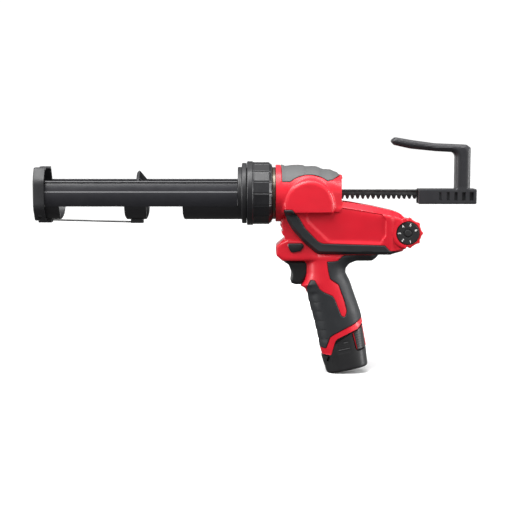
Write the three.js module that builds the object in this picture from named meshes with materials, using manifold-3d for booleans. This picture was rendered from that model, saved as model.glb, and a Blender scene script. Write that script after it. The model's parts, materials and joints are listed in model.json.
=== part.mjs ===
// Cordless caulking gun for 310 ml cartridges, a standalone three.js model in millimetres, +Z up.
// The nozzle end points to -X and the pull handle to +X. Shapes are drawn with X and Z measured from
// the plunger axis at the mouth of the motor housing. The exported group then moves the whole gun so
// that its origin is the middle of its bounding box in X and Y, at the foot of the battery.
import * as THREE from "three";
import { mergeVertices } from "three/addons/utils/BufferGeometryUtils.js";
import Module from "manifold-3d";

const wasm = await Module();
wasm.setup();

// ---------------------------------------------------------------- driving dimensions
const FIT = 0.3; // clearance between neighbouring pieces
const HALF_GAP = FIT / 2; // each half of a split shell stops this far from the middle plane
const NOSE_X = -233; // front face of the front cap
const TAIL_X = 234.2; // rear end of the pull handle

const CRADLE = { bore: 25.3, skin: 27.8, front: -220.2, back: -19, low: -27, high: 32 };
const CAP = { radius: 31, flat: 28, plate: 4, depth: 12.3, wall: 2.9, slot: 13.5 };
const SADDLE = { front: -138.5, back: -114.5, gapDegrees: 0.8 };
const CLIP = { front: -132.5, back: -119.5, half: 5, low: -31.6, high: -26.6, slotHalf: 1.3 };
const PIERCER = { x: -225, z: -28.2, pinR: 1.1, wireR: 0.95, knee: -212, tipX: -131, tipZ: -30.6 };
const SOCKET = { front: -76.5, ring: -18.7, flange: -14.4, neck: -9.4, lip: -2.1, back: 2.6 };
const COLLAR = { front: -9.1, step: -2.7, back: 17.3, lipR: 33.9, bodyR: 33.2, boreR: 30.2, seatR: 27.4 };
const COLLAR_GROOVES = { count: 16, radius: 1.5, offset: 0.6 };
const NECK = { front: 3.2, thread: 17.6, back: 21.1, threadR: 29.6, flangeR: 30, boreR: 25 };

const RACK = { module: 1.75, top: 3.8, pitch: -4.15, half: 5, front: -118, back: 200 };
const RACK_TEETH = { first: -31, last: 20 }; // tooth numbers, counted from the pinion
const PINION = { x: 56.5, teeth: 10, half: 5.4, boreR: 4.3 };
const DRIVE = { module: 1, teeth: 40, pinionTeeth: 10, front: 9.6, back: 17.4 };
const SHAFT_R = 4;
const PRESSURE_ANGLE = THREE.MathUtils.degToRad(20);

const SHELL = 2.4; // wall of the motor housing
const HEAD = { front: 21.4, radius: 30.2 };
const BULGE = { radius: 26.2, half: 31.4, bevel: 2.5 };
const BODY = { half: 25, bevel: 5 };
const NOSE = { half: 17, bevel: 4 };
const GRIP = { half: 20.2, bevel: 10, tilt: THREE.MathUtils.degToRad(12), footX: 98.9, footZ: -188.3 };
const PAD = { gap: FIT, skin: 1.4 }; // soft pads lie between these offsets from the housing
const MOTOR = { z: -38, radius: 17.4, front: 92, back: 137 };
const DIAL = { x: 160.2, z: -41, radius: 16, faceR: 12.2, lobes: 9, front: -23.6, back: -11.4 };
const BATTERY = { stem: 19.6, stemHalf: 17.4, stemTop: 78, slack: 0.7, wall: 1.2, cellR: 8.3, cell: 64 };
const DISC = { radius: 22.6, front: -125.2, plate: 3, hubR: 7.5 };
const DISC_SCREW = { headR: 4.6, headDepth: 2.3, shankR: 2, reach: 10 };
const BRACKET = { front: 172.8, top: 4.8, low: -11.2, half: 10 };
const POCKETS = { count: 5, pitch: 7.9, width: 3.6, depth: 2, low: -7.5, high: 1.2 };
const CHANNEL = { front: 91.2, back: 125, clearance: 0.6 }; // lets the bracket pass over the housing

const PINION_Z = RACK.pitch - (RACK.module * PINION.teeth) / 2;
const DRIVE_R = (DRIVE.module * DRIVE.teeth) / 2;
const OUTPUT_R = (DRIVE.module * DRIVE.pinionTeeth) / 2;
const OUTPUT_Z = PINION_Z - DRIVE_R - OUTPUT_R;

// ---------------------------------------------------------------- finishes
const BLACK_PLASTIC = { color: 0x1d1d1f, roughness: 0.45, metalness: 0 };
const RED_PLASTIC = { color: 0xc8141e, roughness: 0.35, metalness: 0 };
const SOFT_BLACK = { color: 0x232325, roughness: 0.75, metalness: 0 };
const SOFT_GREY = { color: 0x5b5d60, roughness: 0.7, metalness: 0 };
const STEEL = { color: 0x9a9da1, roughness: 0.35, metalness: 1 };
const DARK_STEEL = { color: 0x2c2d30, roughness: 0.4, metalness: 1 };
const BRASS = { color: 0xb08d57, roughness: 0.35, metalness: 1 };
const BOARD_GREEN = { color: 0x1f5136, roughness: 0.5, metalness: 0 };
const CELL_WRAP = { color: 0x2f6f9f, roughness: 0.4, metalness: 0 };

// ---------------------------------------------------------------- shape helpers
const CORNER_STEPS = 3;
const ROUND_STEPS = 24;
const SMALL_ROUND_STEPS = 10;
const MERGE_DISTANCE = 1e-4;

// A closed mesh as a solid, whichever way its profile was drawn.
function solidOf(geometry) {
  const bare = geometry.clone();
  bare.deleteAttribute("normal");
  bare.deleteAttribute("uv");
  const merged = mergeVertices(bare, MERGE_DISTANCE);
  const vertProperties = merged.attributes.position.array;
  const triVerts = new Uint32Array(merged.index.array);
  const made = new wasm.Manifold(new wasm.Mesh({ numProp: 3, vertProperties, triVerts }));
  if (made.volume() > 0) return made;
  triVerts.reverse();
  return new wasm.Manifold(new wasm.Mesh({ numProp: 3, vertProperties, triVerts }));
}

function geometryOf(solid) {
  const mesh = solid.getMesh();
  const geometry = new THREE.BufferGeometry();
  geometry.setAttribute("position", new THREE.BufferAttribute(mesh.vertProperties, 3));
  geometry.setIndex(new THREE.BufferAttribute(mesh.triVerts, 1));
  const flat = geometry.toNonIndexed();
  flat.computeVertexNormals();
  return flat;
}

function union(...solids) {
  return solids.reduce((all, next) => all.add(next));
}

function cut(solid, ...tools) {
  return tools.reduce((left, tool) => left.subtract(tool), solid);
}

function box(xFrom, xTo, yFrom, yTo, zFrom, zTo) {
  const made = new THREE.BoxGeometry(xTo - xFrom, yTo - yFrom, zTo - zFrom);
  made.translate((xFrom + xTo) / 2, (yFrom + yTo) / 2, (zFrom + zTo) / 2);
  return solidOf(made);
}

// A closed outline through corners [a, b, setback]: each corner is rounded from its setback on.
function outline(corners) {
  const shape = new THREE.Shape();
  corners.forEach(([a, b, setback = 0], i) => {
    const here = new THREE.Vector2(a, b);
    const before = new THREE.Vector2(...corners.at(i - 1)).sub(here);
    const after = new THREE.Vector2(...corners[(i + 1) % corners.length]).sub(here);
    const reach = Math.min(setback, 0.45 * before.length(), 0.45 * after.length());
    const start = here.clone().add(before.setLength(reach));
    const end = here.clone().add(after.setLength(reach));
    if (i === 0) shape.moveTo(start.x, start.y);
    else shape.lineTo(start.x, start.y);
    if (setback) shape.quadraticCurveTo(a, b, end.x, end.y);
  });
  shape.closePath();
  return shape;
}

function circle(a, b, radius) {
  const shape = new THREE.Shape();
  shape.absarc(a, b, radius, 0, Math.PI * 2);
  return shape;
}

function extruded(shape, depth, bevel, steps) {
  return new THREE.ExtrudeGeometry(shape, {
    depth: depth - 2 * bevel,
    curveSegments: steps,
    bevelEnabled: bevel > 0,
    bevelThickness: bevel,
    bevelSize: bevel,
    bevelOffset: -bevel,
    bevelSegments: bevel > 3 ? 2 : 1,
  });
}

// A shape drawn in X and Z, thick from yFrom to yTo, with its rims rounded by the bevel.
function alongY(shape, yFrom, yTo, bevel = 0, steps = CORNER_STEPS) {
  const made = extruded(shape, yTo - yFrom, bevel, steps);
  made.rotateX(Math.PI / 2);
  made.translate(0, yTo - bevel, 0);
  return solidOf(made);
}

// A shape drawn in Y and Z, thick from xFrom to xTo.
function alongX(shape, xFrom, xTo, bevel = 0, steps = CORNER_STEPS) {
  const made = extruded(shape, xTo - xFrom, bevel, steps);
  const turn = new THREE.Matrix4().makeBasis(
    new THREE.Vector3(0, 1, 0),
    new THREE.Vector3(0, 0, 1),
    new THREE.Vector3(1, 0, 0),
  );
  made.applyMatrix4(turn);
  made.translate(xFrom + bevel, 0, 0);
  return solidOf(made);
}

// A profile of [position along the axis, radius] turned about the line through (y, z) along X.
function turnedX(profile, y = 0, z = 0, steps = ROUND_STEPS) {
  const points = profile.map(([along, radius]) => new THREE.Vector2(radius, along));
  const made = new THREE.LatheGeometry(points, steps);
  made.rotateZ(-Math.PI / 2);
  made.translate(0, y, z);
  return solidOf(made);
}

function turnedY(profile, x, z, steps = ROUND_STEPS) {
  const points = profile.map(([along, radius]) => new THREE.Vector2(radius, along));
  const made = new THREE.LatheGeometry(points, steps);
  made.translate(x, 0, z);
  return solidOf(made);
}

function turnedZ(profile, x, y, steps = ROUND_STEPS) {
  const points = profile.map(([along, radius]) => new THREE.Vector2(radius, along));
  const made = new THREE.LatheGeometry(points, steps);
  made.rotateX(Math.PI / 2);
  made.translate(x, y, 0);
  return solidOf(made);
}

function rod(from, to, radius) {
  return [
    [from, 0],
    [from, radius],
    [to, radius],
    [to, 0],
  ];
}

function tube(from, to, inner, outer) {
  return [
    [from, inner],
    [from, outer],
    [to, outer],
    [to, inner],
    [from, inner],
  ];
}

function mirrorY(solid) {
  const flipped = geometryOf(solid);
  flipped.scale(1, -1, 1);
  return solidOf(flipped);
}

// ---------------------------------------------------------------- the assembly
const gun = new THREE.Group();

// The grip and the battery are drawn upright about the foot of the battery, then leant back.
const gripFrame = new THREE.Group();
gripFrame.position.set(GRIP.footX, 0, GRIP.footZ);
gripFrame.rotation.y = -GRIP.tilt;
gripFrame.updateMatrix();
gun.add(gripFrame);

function add(name, solid, finish, parent = gun) {
  const mesh = new THREE.Mesh(geometryOf(solid), new THREE.MeshStandardMaterial(finish));
  mesh.name = name;
  parent.add(mesh);
}

function leant(solid) {
  const made = geometryOf(solid);
  made.applyMatrix4(gripFrame.matrix);
  return solidOf(made);
}

// ---------------------------------------------------------------- cartridge carriage
function arcBand(inner, outer, fromDegrees, toDegrees) {
  const from = THREE.MathUtils.degToRad(fromDegrees);
  const to = THREE.MathUtils.degToRad(toDegrees);
  const shape = new THREE.Shape();
  shape.absarc(0, 0, outer, from, to, false);
  shape.absarc(0, 0, inner, to, from, true);
  shape.closePath();
  return shape;
}

function carriageRail() {
  const strip = arcBand(CRADLE.bore, CRADLE.skin, CRADLE.low, CRADLE.high);
  const wall = alongX(strip, CRADLE.front, CRADLE.back, 0, 6);
  const ledge = box(CRADLE.front, CRADLE.back, CRADLE.skin - 1, CRADLE.skin + 0.9, 0.8, 3);
  return wall.add(ledge);
}

function frontCap() {
  const round = turnedX(rod(NOSE_X, NOSE_X + CAP.depth, CAP.radius));
  const clip = box(NOSE_X - 1, 0, -CAP.radius, CAP.radius, -CAP.flat, CAP.flat);
  const hollow = turnedX(rod(NOSE_X + CAP.plate, 0, CAP.radius - CAP.wall));
  const slotRound = turnedX(rod(NOSE_X - 1, 0, CAP.slot), 0, 0, 24);
  const slotTop = box(NOSE_X - 1, 0, -CAP.slot, CAP.slot, 0, CAP.radius + 1);
  const cup = cut(round.intersect(clip), hollow, slotRound, slotTop);
  const lugHalf = 6;
  const lugLow = -CAP.flat - 3;
  const forkHalf = 1.8;
  const back = NOSE_X + CAP.depth;
  const lug = box(NOSE_X + 2, back, -lugHalf, lugHalf, lugLow, -CAP.flat + 1.2);
  const fork = box(NOSE_X + CAP.plate, back + 1, -forkHalf, forkHalf, lugLow - 1, -CAP.flat + CAP.plate);
  const pinHole = turnedY(rod(-7, 7, PIERCER.pinR + FIT), PIERCER.x, PIERCER.z, SMALL_ROUND_STEPS);
  return cut(cup.add(lug), fork, pinHole);
}

// The arc of the cradle below the rails.
function troughArc() {
  const low = CRADLE.low - SADDLE.gapDegrees;
  return arcBand(CRADLE.bore, CRADLE.skin, -180 - low, low);
}

function midSaddle() {
  const band = alongX(troughArc(), SADDLE.front, SADDLE.back, 0, 8);
  const clip = box(CLIP.front, CLIP.back, -CLIP.half, CLIP.half, CLIP.low, CLIP.high);
  const { slotHalf, low } = CLIP;
  const slotTop = PIERCER.tipZ + 2 * PIERCER.wireR;
  const wireSlot = box(SADDLE.front - 1, SADDLE.back + 1, -slotHalf, slotHalf, low - 1, slotTop);
  return cut(band.add(clip), wireSlot);
}

function rearSocket() {
  const trough = alongX(troughArc(), SOCKET.front, SOCKET.ring + 1, 0, 8);
  const ring = turnedX([
    [SOCKET.ring, CRADLE.bore],
    [SOCKET.ring, CRADLE.skin],
    [SOCKET.flange, CRADLE.skin],
    [SOCKET.flange, 32.1],
    [SOCKET.neck, 32.1],
    [SOCKET.neck, 26.9],
    [SOCKET.lip, 26.9],
    [SOCKET.lip, 29.4],
    [SOCKET.back, 29.4],
    [SOCKET.back, 24.2],
    [SOCKET.neck, 24.2],
    [SOCKET.neck, CRADLE.bore],
    [SOCKET.ring, CRADLE.bore],
  ]);
  return trough.add(ring);
}

// The seal piercer is a bent wire that swings on a pin below the front cap.
function piercerWire() {
  const start = new THREE.Vector3(PIERCER.x, 0, PIERCER.z);
  const bend = new THREE.Vector3(PIERCER.knee, 0, PIERCER.z - 0.4);
  const tip = new THREE.Vector3(PIERCER.tipX, 0, PIERCER.tipZ);
  const wire = new THREE.ExtrudeGeometry(circle(0, 0, PIERCER.wireR), {
    steps: 12,
    curveSegments: 5,
    bevelEnabled: false,
    extrudePath: new THREE.CatmullRomCurve3([start, bend, tip]),
  });
  const eye = turnedY(rod(-1.5, 1.5, 2.4), PIERCER.x, PIERCER.z, SMALL_ROUND_STEPS);
  const hole = turnedY(rod(-2, 2, PIERCER.pinR + FIT), PIERCER.x, PIERCER.z, SMALL_ROUND_STEPS);
  return cut(union(solidOf(wire), eye), hole);
}

add("front_cap", frontCap(), BLACK_PLASTIC);
add("carriage_rail_left", mirrorY(carriageRail()), BLACK_PLASTIC);
add("carriage_rail_right", carriageRail(), BLACK_PLASTIC);
add("mid_saddle", midSaddle(), BLACK_PLASTIC);
add("rear_socket", rearSocket(), BLACK_PLASTIC);
add("piercer_pin", turnedY(rod(-5.8, 5.8, PIERCER.pinR), PIERCER.x, PIERCER.z, SMALL_ROUND_STEPS), STEEL);
add("piercer_wire", piercerWire(), STEEL);

// ---------------------------------------------------------------- collar and neck
function collarNut() {
  const ring = turnedX([
    [COLLAR.front, COLLAR.seatR],
    [COLLAR.front, COLLAR.lipR - 1],
    [COLLAR.front + 1, COLLAR.lipR],
    [COLLAR.step, COLLAR.lipR],
    [COLLAR.step + 0.6, COLLAR.bodyR],
    [COLLAR.back - 2.5, COLLAR.bodyR],
    [COLLAR.back, COLLAR.bodyR - 2],
    [COLLAR.back, COLLAR.boreR],
    [COLLAR.step + 0.3, COLLAR.boreR],
    [COLLAR.step + 0.3, COLLAR.seatR],
    [COLLAR.front, COLLAR.seatR],
  ]);
  const { count, radius, offset } = COLLAR_GROOVES;
  const grooves = [];
  for (let i = 0; i < count; i++) {
    const angle = ((i + 0.5) / count) * Math.PI * 2;
    const y = Math.cos(angle) * (COLLAR.bodyR + offset);
    const z = Math.sin(angle) * (COLLAR.bodyR + offset);
    grooves.push(turnedX(rod(COLLAR.step + 1.2, COLLAR.back + 1, radius), y, z, 8));
  }
  return cut(ring, ...grooves);
}

function neckRing() {
  return turnedX([
    [NECK.front, NECK.boreR],
    [NECK.front, NECK.threadR],
    [NECK.thread, NECK.threadR],
    [NECK.thread, NECK.flangeR],
    [NECK.back, NECK.flangeR],
    [NECK.back, NECK.boreR],
    [NECK.front, NECK.boreR],
  ]);
}

add("collar_nut", collarNut(), BLACK_PLASTIC);
add("neck_ring", neckRing(), STEEL);

// ---------------------------------------------------------------- gears and rack
// Half the angle that a gear tooth fills at a radius: the most that a rolling rack leaves free.
function toothHalfAngle(module, teeth, radius) {
  const pitchR = (module * teeth) / 2;
  const pitch = Math.PI * module;
  const backlash = 0.09 * module;
  const rollLimit = 1.2;
  const rollStep = 0.01;
  let low = 0;
  let high = Math.PI / teeth;
  const hits = (half) => {
    for (let roll = -rollLimit; roll <= rollLimit; roll += rollStep) {
      const across = radius * Math.sin(half + roll) - (pitch / 2 + pitchR * roll);
      const depth = radius * Math.cos(half + roll) - pitchR;
      const rackHalf = pitch / 4 + depth * Math.tan(PRESSURE_ANGLE) + backlash;
      if (depth > -module && Math.abs(across) < rackHalf) return true;
    }
    return false;
  };
  for (let i = 0; i < 20; i++) {
    const middle = (low + high) / 2;
    if (hits(middle)) high = middle;
    else low = middle;
  }
  return low;
}

// A spur gear outline about (x, z), with one tooth centred on the given direction.
function gearOutline(module, teeth, x, z, direction) {
  const pitchR = (module * teeth) / 2;
  const rootR = pitchR - 1.2 * module;
  const tipR = pitchR + 0.92 * module;
  const rings = teeth < 20 ? 9 : 4; // few teeth are undercut, so their flanks bend more
  const flank = [];
  for (let i = 0; i < rings; i++) {
    const radius = rootR + ((tipR - rootR) * i) / (rings - 1);
    flank.push([radius, toothHalfAngle(module, teeth, radius)]);
  }
  const shape = new THREE.Shape();
  const go = (radius, angle) => {
    const px = x + radius * Math.cos(angle);
    const pz = z + radius * Math.sin(angle);
    if (shape.curves.length || shape.currentPoint.lengthSq() > 0) shape.lineTo(px, pz);
    else shape.moveTo(px, pz);
  };
  for (let tooth = 0; tooth < teeth; tooth++) {
    const middle = direction + (tooth / teeth) * Math.PI * 2;
    flank.forEach(([radius, half]) => go(radius, middle - half));
    flank.toReversed().forEach(([radius, half]) => go(radius, middle + half));
  }
  shape.closePath();
  return shape;
}

function spurGear(module, teeth, x, z, direction, yFrom, yTo, boreR) {
  const blank = alongY(gearOutline(module, teeth, x, z, direction), yFrom, yTo);
  return cut(blank, turnedY(rod(yFrom - 1, yTo + 1, boreR), x, z, SMALL_ROUND_STEPS));
}

// The rack's teeth face down, with a tooth space centred over the pinion.
function rackBar() {
  const pitch = Math.PI * RACK.module;
  const tipHalf = pitch / 4 - RACK.module * Math.tan(PRESSURE_ANGLE);
  const rootHalf = pitch / 4 + 1.2 * RACK.module * Math.tan(PRESSURE_ANGLE);
  const tip = RACK.pitch - RACK.module;
  const root = RACK.pitch + 1.2 * RACK.module;
  const shape = new THREE.Shape();
  shape.moveTo(RACK.front, RACK.top);
  shape.lineTo(RACK.front, root);
  for (let tooth = RACK_TEETH.first; tooth <= RACK_TEETH.last; tooth++) {
    const middle = PINION.x + (tooth + 0.5) * pitch;
    shape.lineTo(middle - rootHalf, root);
    shape.lineTo(middle - tipHalf, tip);
    shape.lineTo(middle + tipHalf, tip);
    shape.lineTo(middle + rootHalf, root);
  }
  shape.lineTo(RACK.back, root);
  shape.lineTo(RACK.back, RACK.top);
  shape.closePath();
  const bar = alongY(shape, -RACK.half, RACK.half);
  return cut(bar, plungerScrew(FIT), ...HANDLE_PINS.map((x) => handlePin(x, FIT)));
}

const UP = Math.PI / 2;
const halfTooth = Math.PI / DRIVE.pinionTeeth;

add(
  "rack_pinion",
  spurGear(RACK.module, PINION.teeth, PINION.x, PINION_Z, UP, -PINION.half, PINION.half, PINION.boreR),
  STEEL,
);
add(
  "drive_gear",
  spurGear(DRIVE.module, DRIVE.teeth, PINION.x, PINION_Z, -UP, DRIVE.front, DRIVE.back, PINION.boreR),
  STEEL,
);
add(
  "output_pinion",
  spurGear(DRIVE.module, DRIVE.pinionTeeth, PINION.x, OUTPUT_Z, UP + halfTooth, DRIVE.front, DRIVE.back, 2.3),
  STEEL,
);
add("output_shaft", turnedY(rod(6, 18.4, 2), PINION.x, OUTPUT_Z, SMALL_ROUND_STEPS), STEEL);
add("pinion_shaft", turnedY(rod(-26, 26, SHAFT_R), PINION.x, PINION_Z, SMALL_ROUND_STEPS), STEEL);
add("clutch_hub", turnedY(tube(5.8, 9.2, PINION.boreR, 9), PINION.x, PINION_Z, SMALL_ROUND_STEPS), BRASS);
add("bearing_left", turnedY(tube(-25.6, -20, PINION.boreR, 9), PINION.x, PINION_Z, 24), STEEL);
add("bearing_right", turnedY(tube(20, 25.6, PINION.boreR, 9), PINION.x, PINION_Z, 24), STEEL);

// ---------------------------------------------------------------- plunger
function plungerDisc() {
  const { front, plate, radius } = DISC;
  const disc = turnedX([
    [front, 0],
    [front, radius - 1],
    [front + 1, radius],
    [front + plate, radius],
    [front + plate + 2.4, 13],
    [front + plate + 3.6, DISC.hubR],
    [RACK.front - FIT, DISC.hubR],
    [RACK.front - FIT, 0],
  ]);
  return cut(disc, plungerScrew(FIT));
}

function pullHandle() {
  const hookTop = outline([
    [144.5, 59.8, 3],
    [166, 57, 6],
    [188, 53.6, 6],
    [222.4, 51.7, 1.5],
    [227.4, 48.2, 1.5],
    [227.4, 2, 0],
    [212.8, 2, 0],
    [212.8, 43.7, 5],
    [190, 45, 6],
    [168, 47.6, 6],
    [147, 51.6, 3],
    [144.2, 54.5, 2],
  ]);
  const arm = alongY(hookTop, -BRACKET.half, BRACKET.half, 1);
  const bracketShape = outline([
    [BRACKET.front, BRACKET.top, 1.6],
    [TAIL_X, BRACKET.top, 3],
    [TAIL_X, BRACKET.low, 3],
    [BRACKET.front, BRACKET.low, 1.6],
  ]);
  const bracket = alongY(bracketShape, -BRACKET.half, BRACKET.half, 1);
  const seatHalf = RACK.half + FIT;
  const seat = box(BRACKET.front - 1, RACK.back + FIT, -seatHalf, seatHalf, BRACKET.low - 1, RACK.top + FIT);
  const pockets = [];
  for (let i = 0; i < POCKETS.count; i++) {
    const x = TAIL_X - 8 - i * POCKETS.pitch;
    const floor = -BRACKET.half + POCKETS.depth;
    pockets.push(box(x, x + POCKETS.width, -BRACKET.half - 1, floor, POCKETS.low, POCKETS.high));
  }
  const holes = HANDLE_PINS.map((x) => handlePin(x, FIT));
  return cut(union(arm, bracket), seat, ...pockets, ...holes);
}

const HANDLE_PINS = [181, 193];

function handlePin(x, grow = 0) {
  return turnedY(rod(-7.4 - grow, 9.6 + 4 * grow, 1.6 + grow), x, -0.4, SMALL_ROUND_STEPS);
}

// The screw that holds the disc on the rack, with its head sunk into the disc. Grown, it is its hole.
function plungerScrew(grow = 0) {
  const { headR, headDepth, shankR, reach } = DISC_SCREW;
  const headFront = grow > 0 ? DISC.front - 1 : DISC.front + FIT;
  const headBack = DISC.front + headDepth + grow;
  const shank = rod(headBack - 1, RACK.front + reach + grow, shankR + grow);
  const head = turnedX(rod(headFront, headBack, headR + grow), 0, 0, SMALL_ROUND_STEPS);
  const screw = head.add(turnedX(shank, 0, 0, SMALL_ROUND_STEPS));
  if (grow > 0) return screw;
  return cut(screw, turnedX(rod(headFront - 1, headFront + 1.2, 2), 0, 0, 6));
}

add("rack_bar", rackBar(), DARK_STEEL);
add("plunger_disc", plungerDisc(), BLACK_PLASTIC);
add("plunger_screw", plungerScrew(), STEEL);
add("pull_handle", pullHandle(), BLACK_PLASTIC);
HANDLE_PINS.forEach((x, i) => add(`handle_pin_${i + 1}`, handlePin(x), STEEL));

// ---------------------------------------------------------------- housing outside shape
function headShape(grow) {
  const rear = 90.2 + grow;
  const profile = [
    [HEAD.front, 0],
    [HEAD.front, HEAD.radius + grow],
    [50, HEAD.radius + grow],
    [64, 28.6 + grow],
    [76, 25.4 + grow],
    [88, 21.4 + grow],
    [rear, 17 + grow],
    [rear, 0],
  ];
  return turnedX(profile);
}

function bulgeShape(grow) {
  const radius = BULGE.radius + grow;
  const half = BULGE.half + grow;
  return turnedY(
    [
      [-half, 0],
      [-half, radius - BULGE.bevel],
      [-half + BULGE.bevel, radius],
      [half - BULGE.bevel, radius],
      [half, radius - BULGE.bevel],
      [half, 0],
    ],
    PINION.x,
    PINION_Z,
  );
}

// The block that holds the motor: its corners move out by the growth along both axes.
function bodyShape(grow) {
  const shape = outline([
    [36 - grow, -2],
    [30.5 - grow, -20],
    [39 - grow, -41 - grow],
    [66.5, -64.4 - grow, 9],
    [157 + grow, -64.4 - grow, 9],
    [157 + grow, -20 + grow, 9],
    [112, -9.8 + grow],
    [90, -6.4 + grow],
    [80, 2],
  ]);
  return alongY(shape, -BODY.half - grow, BODY.half + grow, BODY.bevel);
}

function noseShape(grow) {
  const shape = outline([
    [27 - grow, -20],
    [27.2 - grow, -36],
    [29.5 - grow, -45],
    [22 - grow, -56],
    [22 - grow, -71.1 - grow, 8],
    [70, -71.1 - grow],
    [70, -20],
  ]);
  return alongY(shape, -NOSE.half - grow, NOSE.half + grow, NOSE.bevel);
}

// The lower edge of the grip, in the grip's own frame, from the front to the rear.
const MOUTH = [
  [-40, 22.8],
  [-14.6, 19.2],
  [-7.4, 32],
  [40, 52],
];

function gripColumn(grow) {
  const column = outline([
    [-26 - grow, 0],
    [-25.6 - grow, 84],
    [-28.5 - grow, 98],
    [-25, 125],
    [32 + grow, 125],
    [20.6 + grow, 104],
    [23.4 + grow, 80],
    [26.4 + grow, 46],
    [25.4 + grow, 0],
  ]);
  const half = GRIP.half + grow;
  return alongY(column, -half, half, GRIP.bevel);
}

function belowMouth(gap = 0) {
  const edge = MOUTH.map(([x, z]) => [x, z - gap]);
  return alongY(outline([[-40, -10], ...edge, [40, -10]]), -40, 40);
}

function dialBossShape(grow) {
  return turnedY(rod(DIAL.back + FIT - grow, 19 + grow, 14 + grow), DIAL.x, DIAL.z);
}

function housingShape(grow) {
  return union(
    headShape(grow),
    bulgeShape(grow),
    bodyShape(grow),
    noseShape(grow),
    leant(gripColumn(grow)),
    dialBossShape(Math.min(grow, 0)),
  );
}

// ---------------------------------------------------------------- housing halves
const SCREWS = [
  [37.5, -41],
  [74, 16],
  [146.5, -59.2],
  [72.9, -99.8],
  [89.5, -88],
];
const SCREW = { shankR: 1.6, headR: 3, bossR: 4, tipY: -8, headY: 9 };

const TRIGGER = { half: 7.6, low: -97, high: -71.6 };
const TRIGGER_GAP = 0.5;
const LOCK = { front: -19.5, back: 14.5 }; // it stands proud on the left, ready to be pushed across

function triggerOutline(grow) {
  return outline([
    [30 - grow, TRIGGER.high + grow],
    [38.4 - grow, -78.5, 4],
    [38 - grow, -90, 4],
    [36.6 - grow, -94, 2.4],
    [40.5, TRIGGER.low - grow, 2.4],
    [48, TRIGGER.low - grow, 2.4],
    [57 + grow, TRIGGER.low + 2 - grow],
    [57 + grow, TRIGGER.high + grow],
  ]);
}

function lockOutline(grow) {
  return outline([
    [34.2 - grow, -53.6 + grow, 1.5],
    [49.6 + grow, -53.6 + grow, 1.5],
    [51 + grow, -56.6, 1.5],
    [47 + grow, -63 - grow, 1.5],
    [38 - grow, -63 - grow, 1.5],
  ]);
}

function screwBoss(x, z) {
  return turnedY(rod(-30, 30, SCREW.bossR), x, z, SMALL_ROUND_STEPS);
}

// Ribs and bosses that hold the bearings, the motor and the switch, before the shell trims them.
function innerSupports() {
  const bearingRings = [-1, 1].map((side) => {
    const seat = side < 0 ? tube(-32, -19.6, 9 + FIT, 11.4) : tube(19.6, 32, 9 + FIT, 11.4);
    return turnedY(seat, PINION.x, PINION_Z, 24);
  });
  const motorRibs = [98, 132].map((x) => {
    const plate = box(x, x + SHELL, -30, 30, -57.5, 0);
    return cut(plate, turnedX(rod(x - 1, x + 2 * SHELL, MOTOR.radius + FIT), 0, MOTOR.z));
  });
  return union(...bearingRings, ...motorRibs, channelFloor(), ...SCREWS.map(([x, z]) => screwBoss(x, z)));
}

// The handle's bracket runs forward along a channel in the top of the housing.
function channelWay() {
  const half = BRACKET.half + CHANNEL.clearance;
  return box(CHANNEL.front, CHANNEL.back, -half, half, BRACKET.low - CHANNEL.clearance, HEAD.radius);
}

function channelFloor() {
  const half = BRACKET.half + CHANNEL.clearance + SHELL;
  return box(CHANNEL.front - SHELL, CHANNEL.back, -half, half, BRACKET.low - CHANNEL.clearance - SHELL, 0);
}

function housingOpenings() {
  const rackWay = box(0, 120, -RACK.half - 1, RACK.half + 1, RACK.pitch - 3.2, RACK.top + 1);
  const mouth = turnedX(rod(0, HEAD.front + 12, NECK.boreR));
  const triggerHalf = TRIGGER.half + TRIGGER_GAP;
  const triggerWay = alongY(triggerOutline(TRIGGER_GAP), -triggerHalf, triggerHalf);
  const triggerDeep = box(45, 63, -triggerHalf, triggerHalf, TRIGGER.low - 0.4, TRIGGER.high + FIT);
  const lockWay = alongY(lockOutline(0.35), -30, 30);
  const dialPocket = turnedY(rod(-40, DIAL.back + FIT, DIAL.radius + 0.8), DIAL.x, DIAL.z);
  const dialShaft = turnedY(rod(DIAL.back - 1, 2, 3.3), DIAL.x, DIAL.z, SMALL_ROUND_STEPS);
  const { stem, stemHalf, stemTop, slack } = BATTERY;
  const wide = stemHalf + slack;
  const batteryWell = leant(box(-stem - slack, stem + slack, -wide, wide, -5, stemTop + 8));
  const openings = [rackWay, channelWay(), mouth, triggerWay, triggerDeep, lockWay, dialPocket, dialShaft];
  return [...openings, batteryWell, leant(belowMouth())];
}

function screwHoles() {
  const { shankR, headR } = SCREW;
  return SCREWS.map(([x, z]) => {
    const shank = rod(SCREW.tipY - 1, 40, shankR + FIT);
    const head = rod(SCREW.headY - FIT, 40, headR + FIT);
    return turnedY(shank, x, z, SMALL_ROUND_STEPS).add(turnedY(head, x, z, SMALL_ROUND_STEPS));
  });
}

function housing() {
  const outside = housingShape(0);
  const inside = housingShape(-SHELL);
  const supports = innerSupports().intersect(outside);
  const motorRoom = turnedX(rod(66, 147, MOTOR.radius + FIT), 0, MOTOR.z);
  const shell = outside.subtract(inside).add(supports);
  return cut(shell, motorRoom, ...housingOpenings(), ...screwHoles());
}

const leftHalf = box(-300, 300, -60, -HALF_GAP, -250, 80);
const rightHalf = box(-300, 300, HALF_GAP, 60, -250, 80);

const wholeHousing = housing();
add("housing_left", wholeHousing.intersect(leftHalf), RED_PLASTIC);
add("housing_right", wholeHousing.intersect(rightHalf), RED_PLASTIC);

// ---------------------------------------------------------------- soft pads on the housing
// A pad is the skin between two offsets of a housing shape, inside an outline drawn in X and Z.
function padSkin(blank, prism) {
  return cut(blank.intersect(prism), housingShape(PAD.gap), ...SCREWS.map(([x, z]) => screwBoss(x, z)));
}

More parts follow.
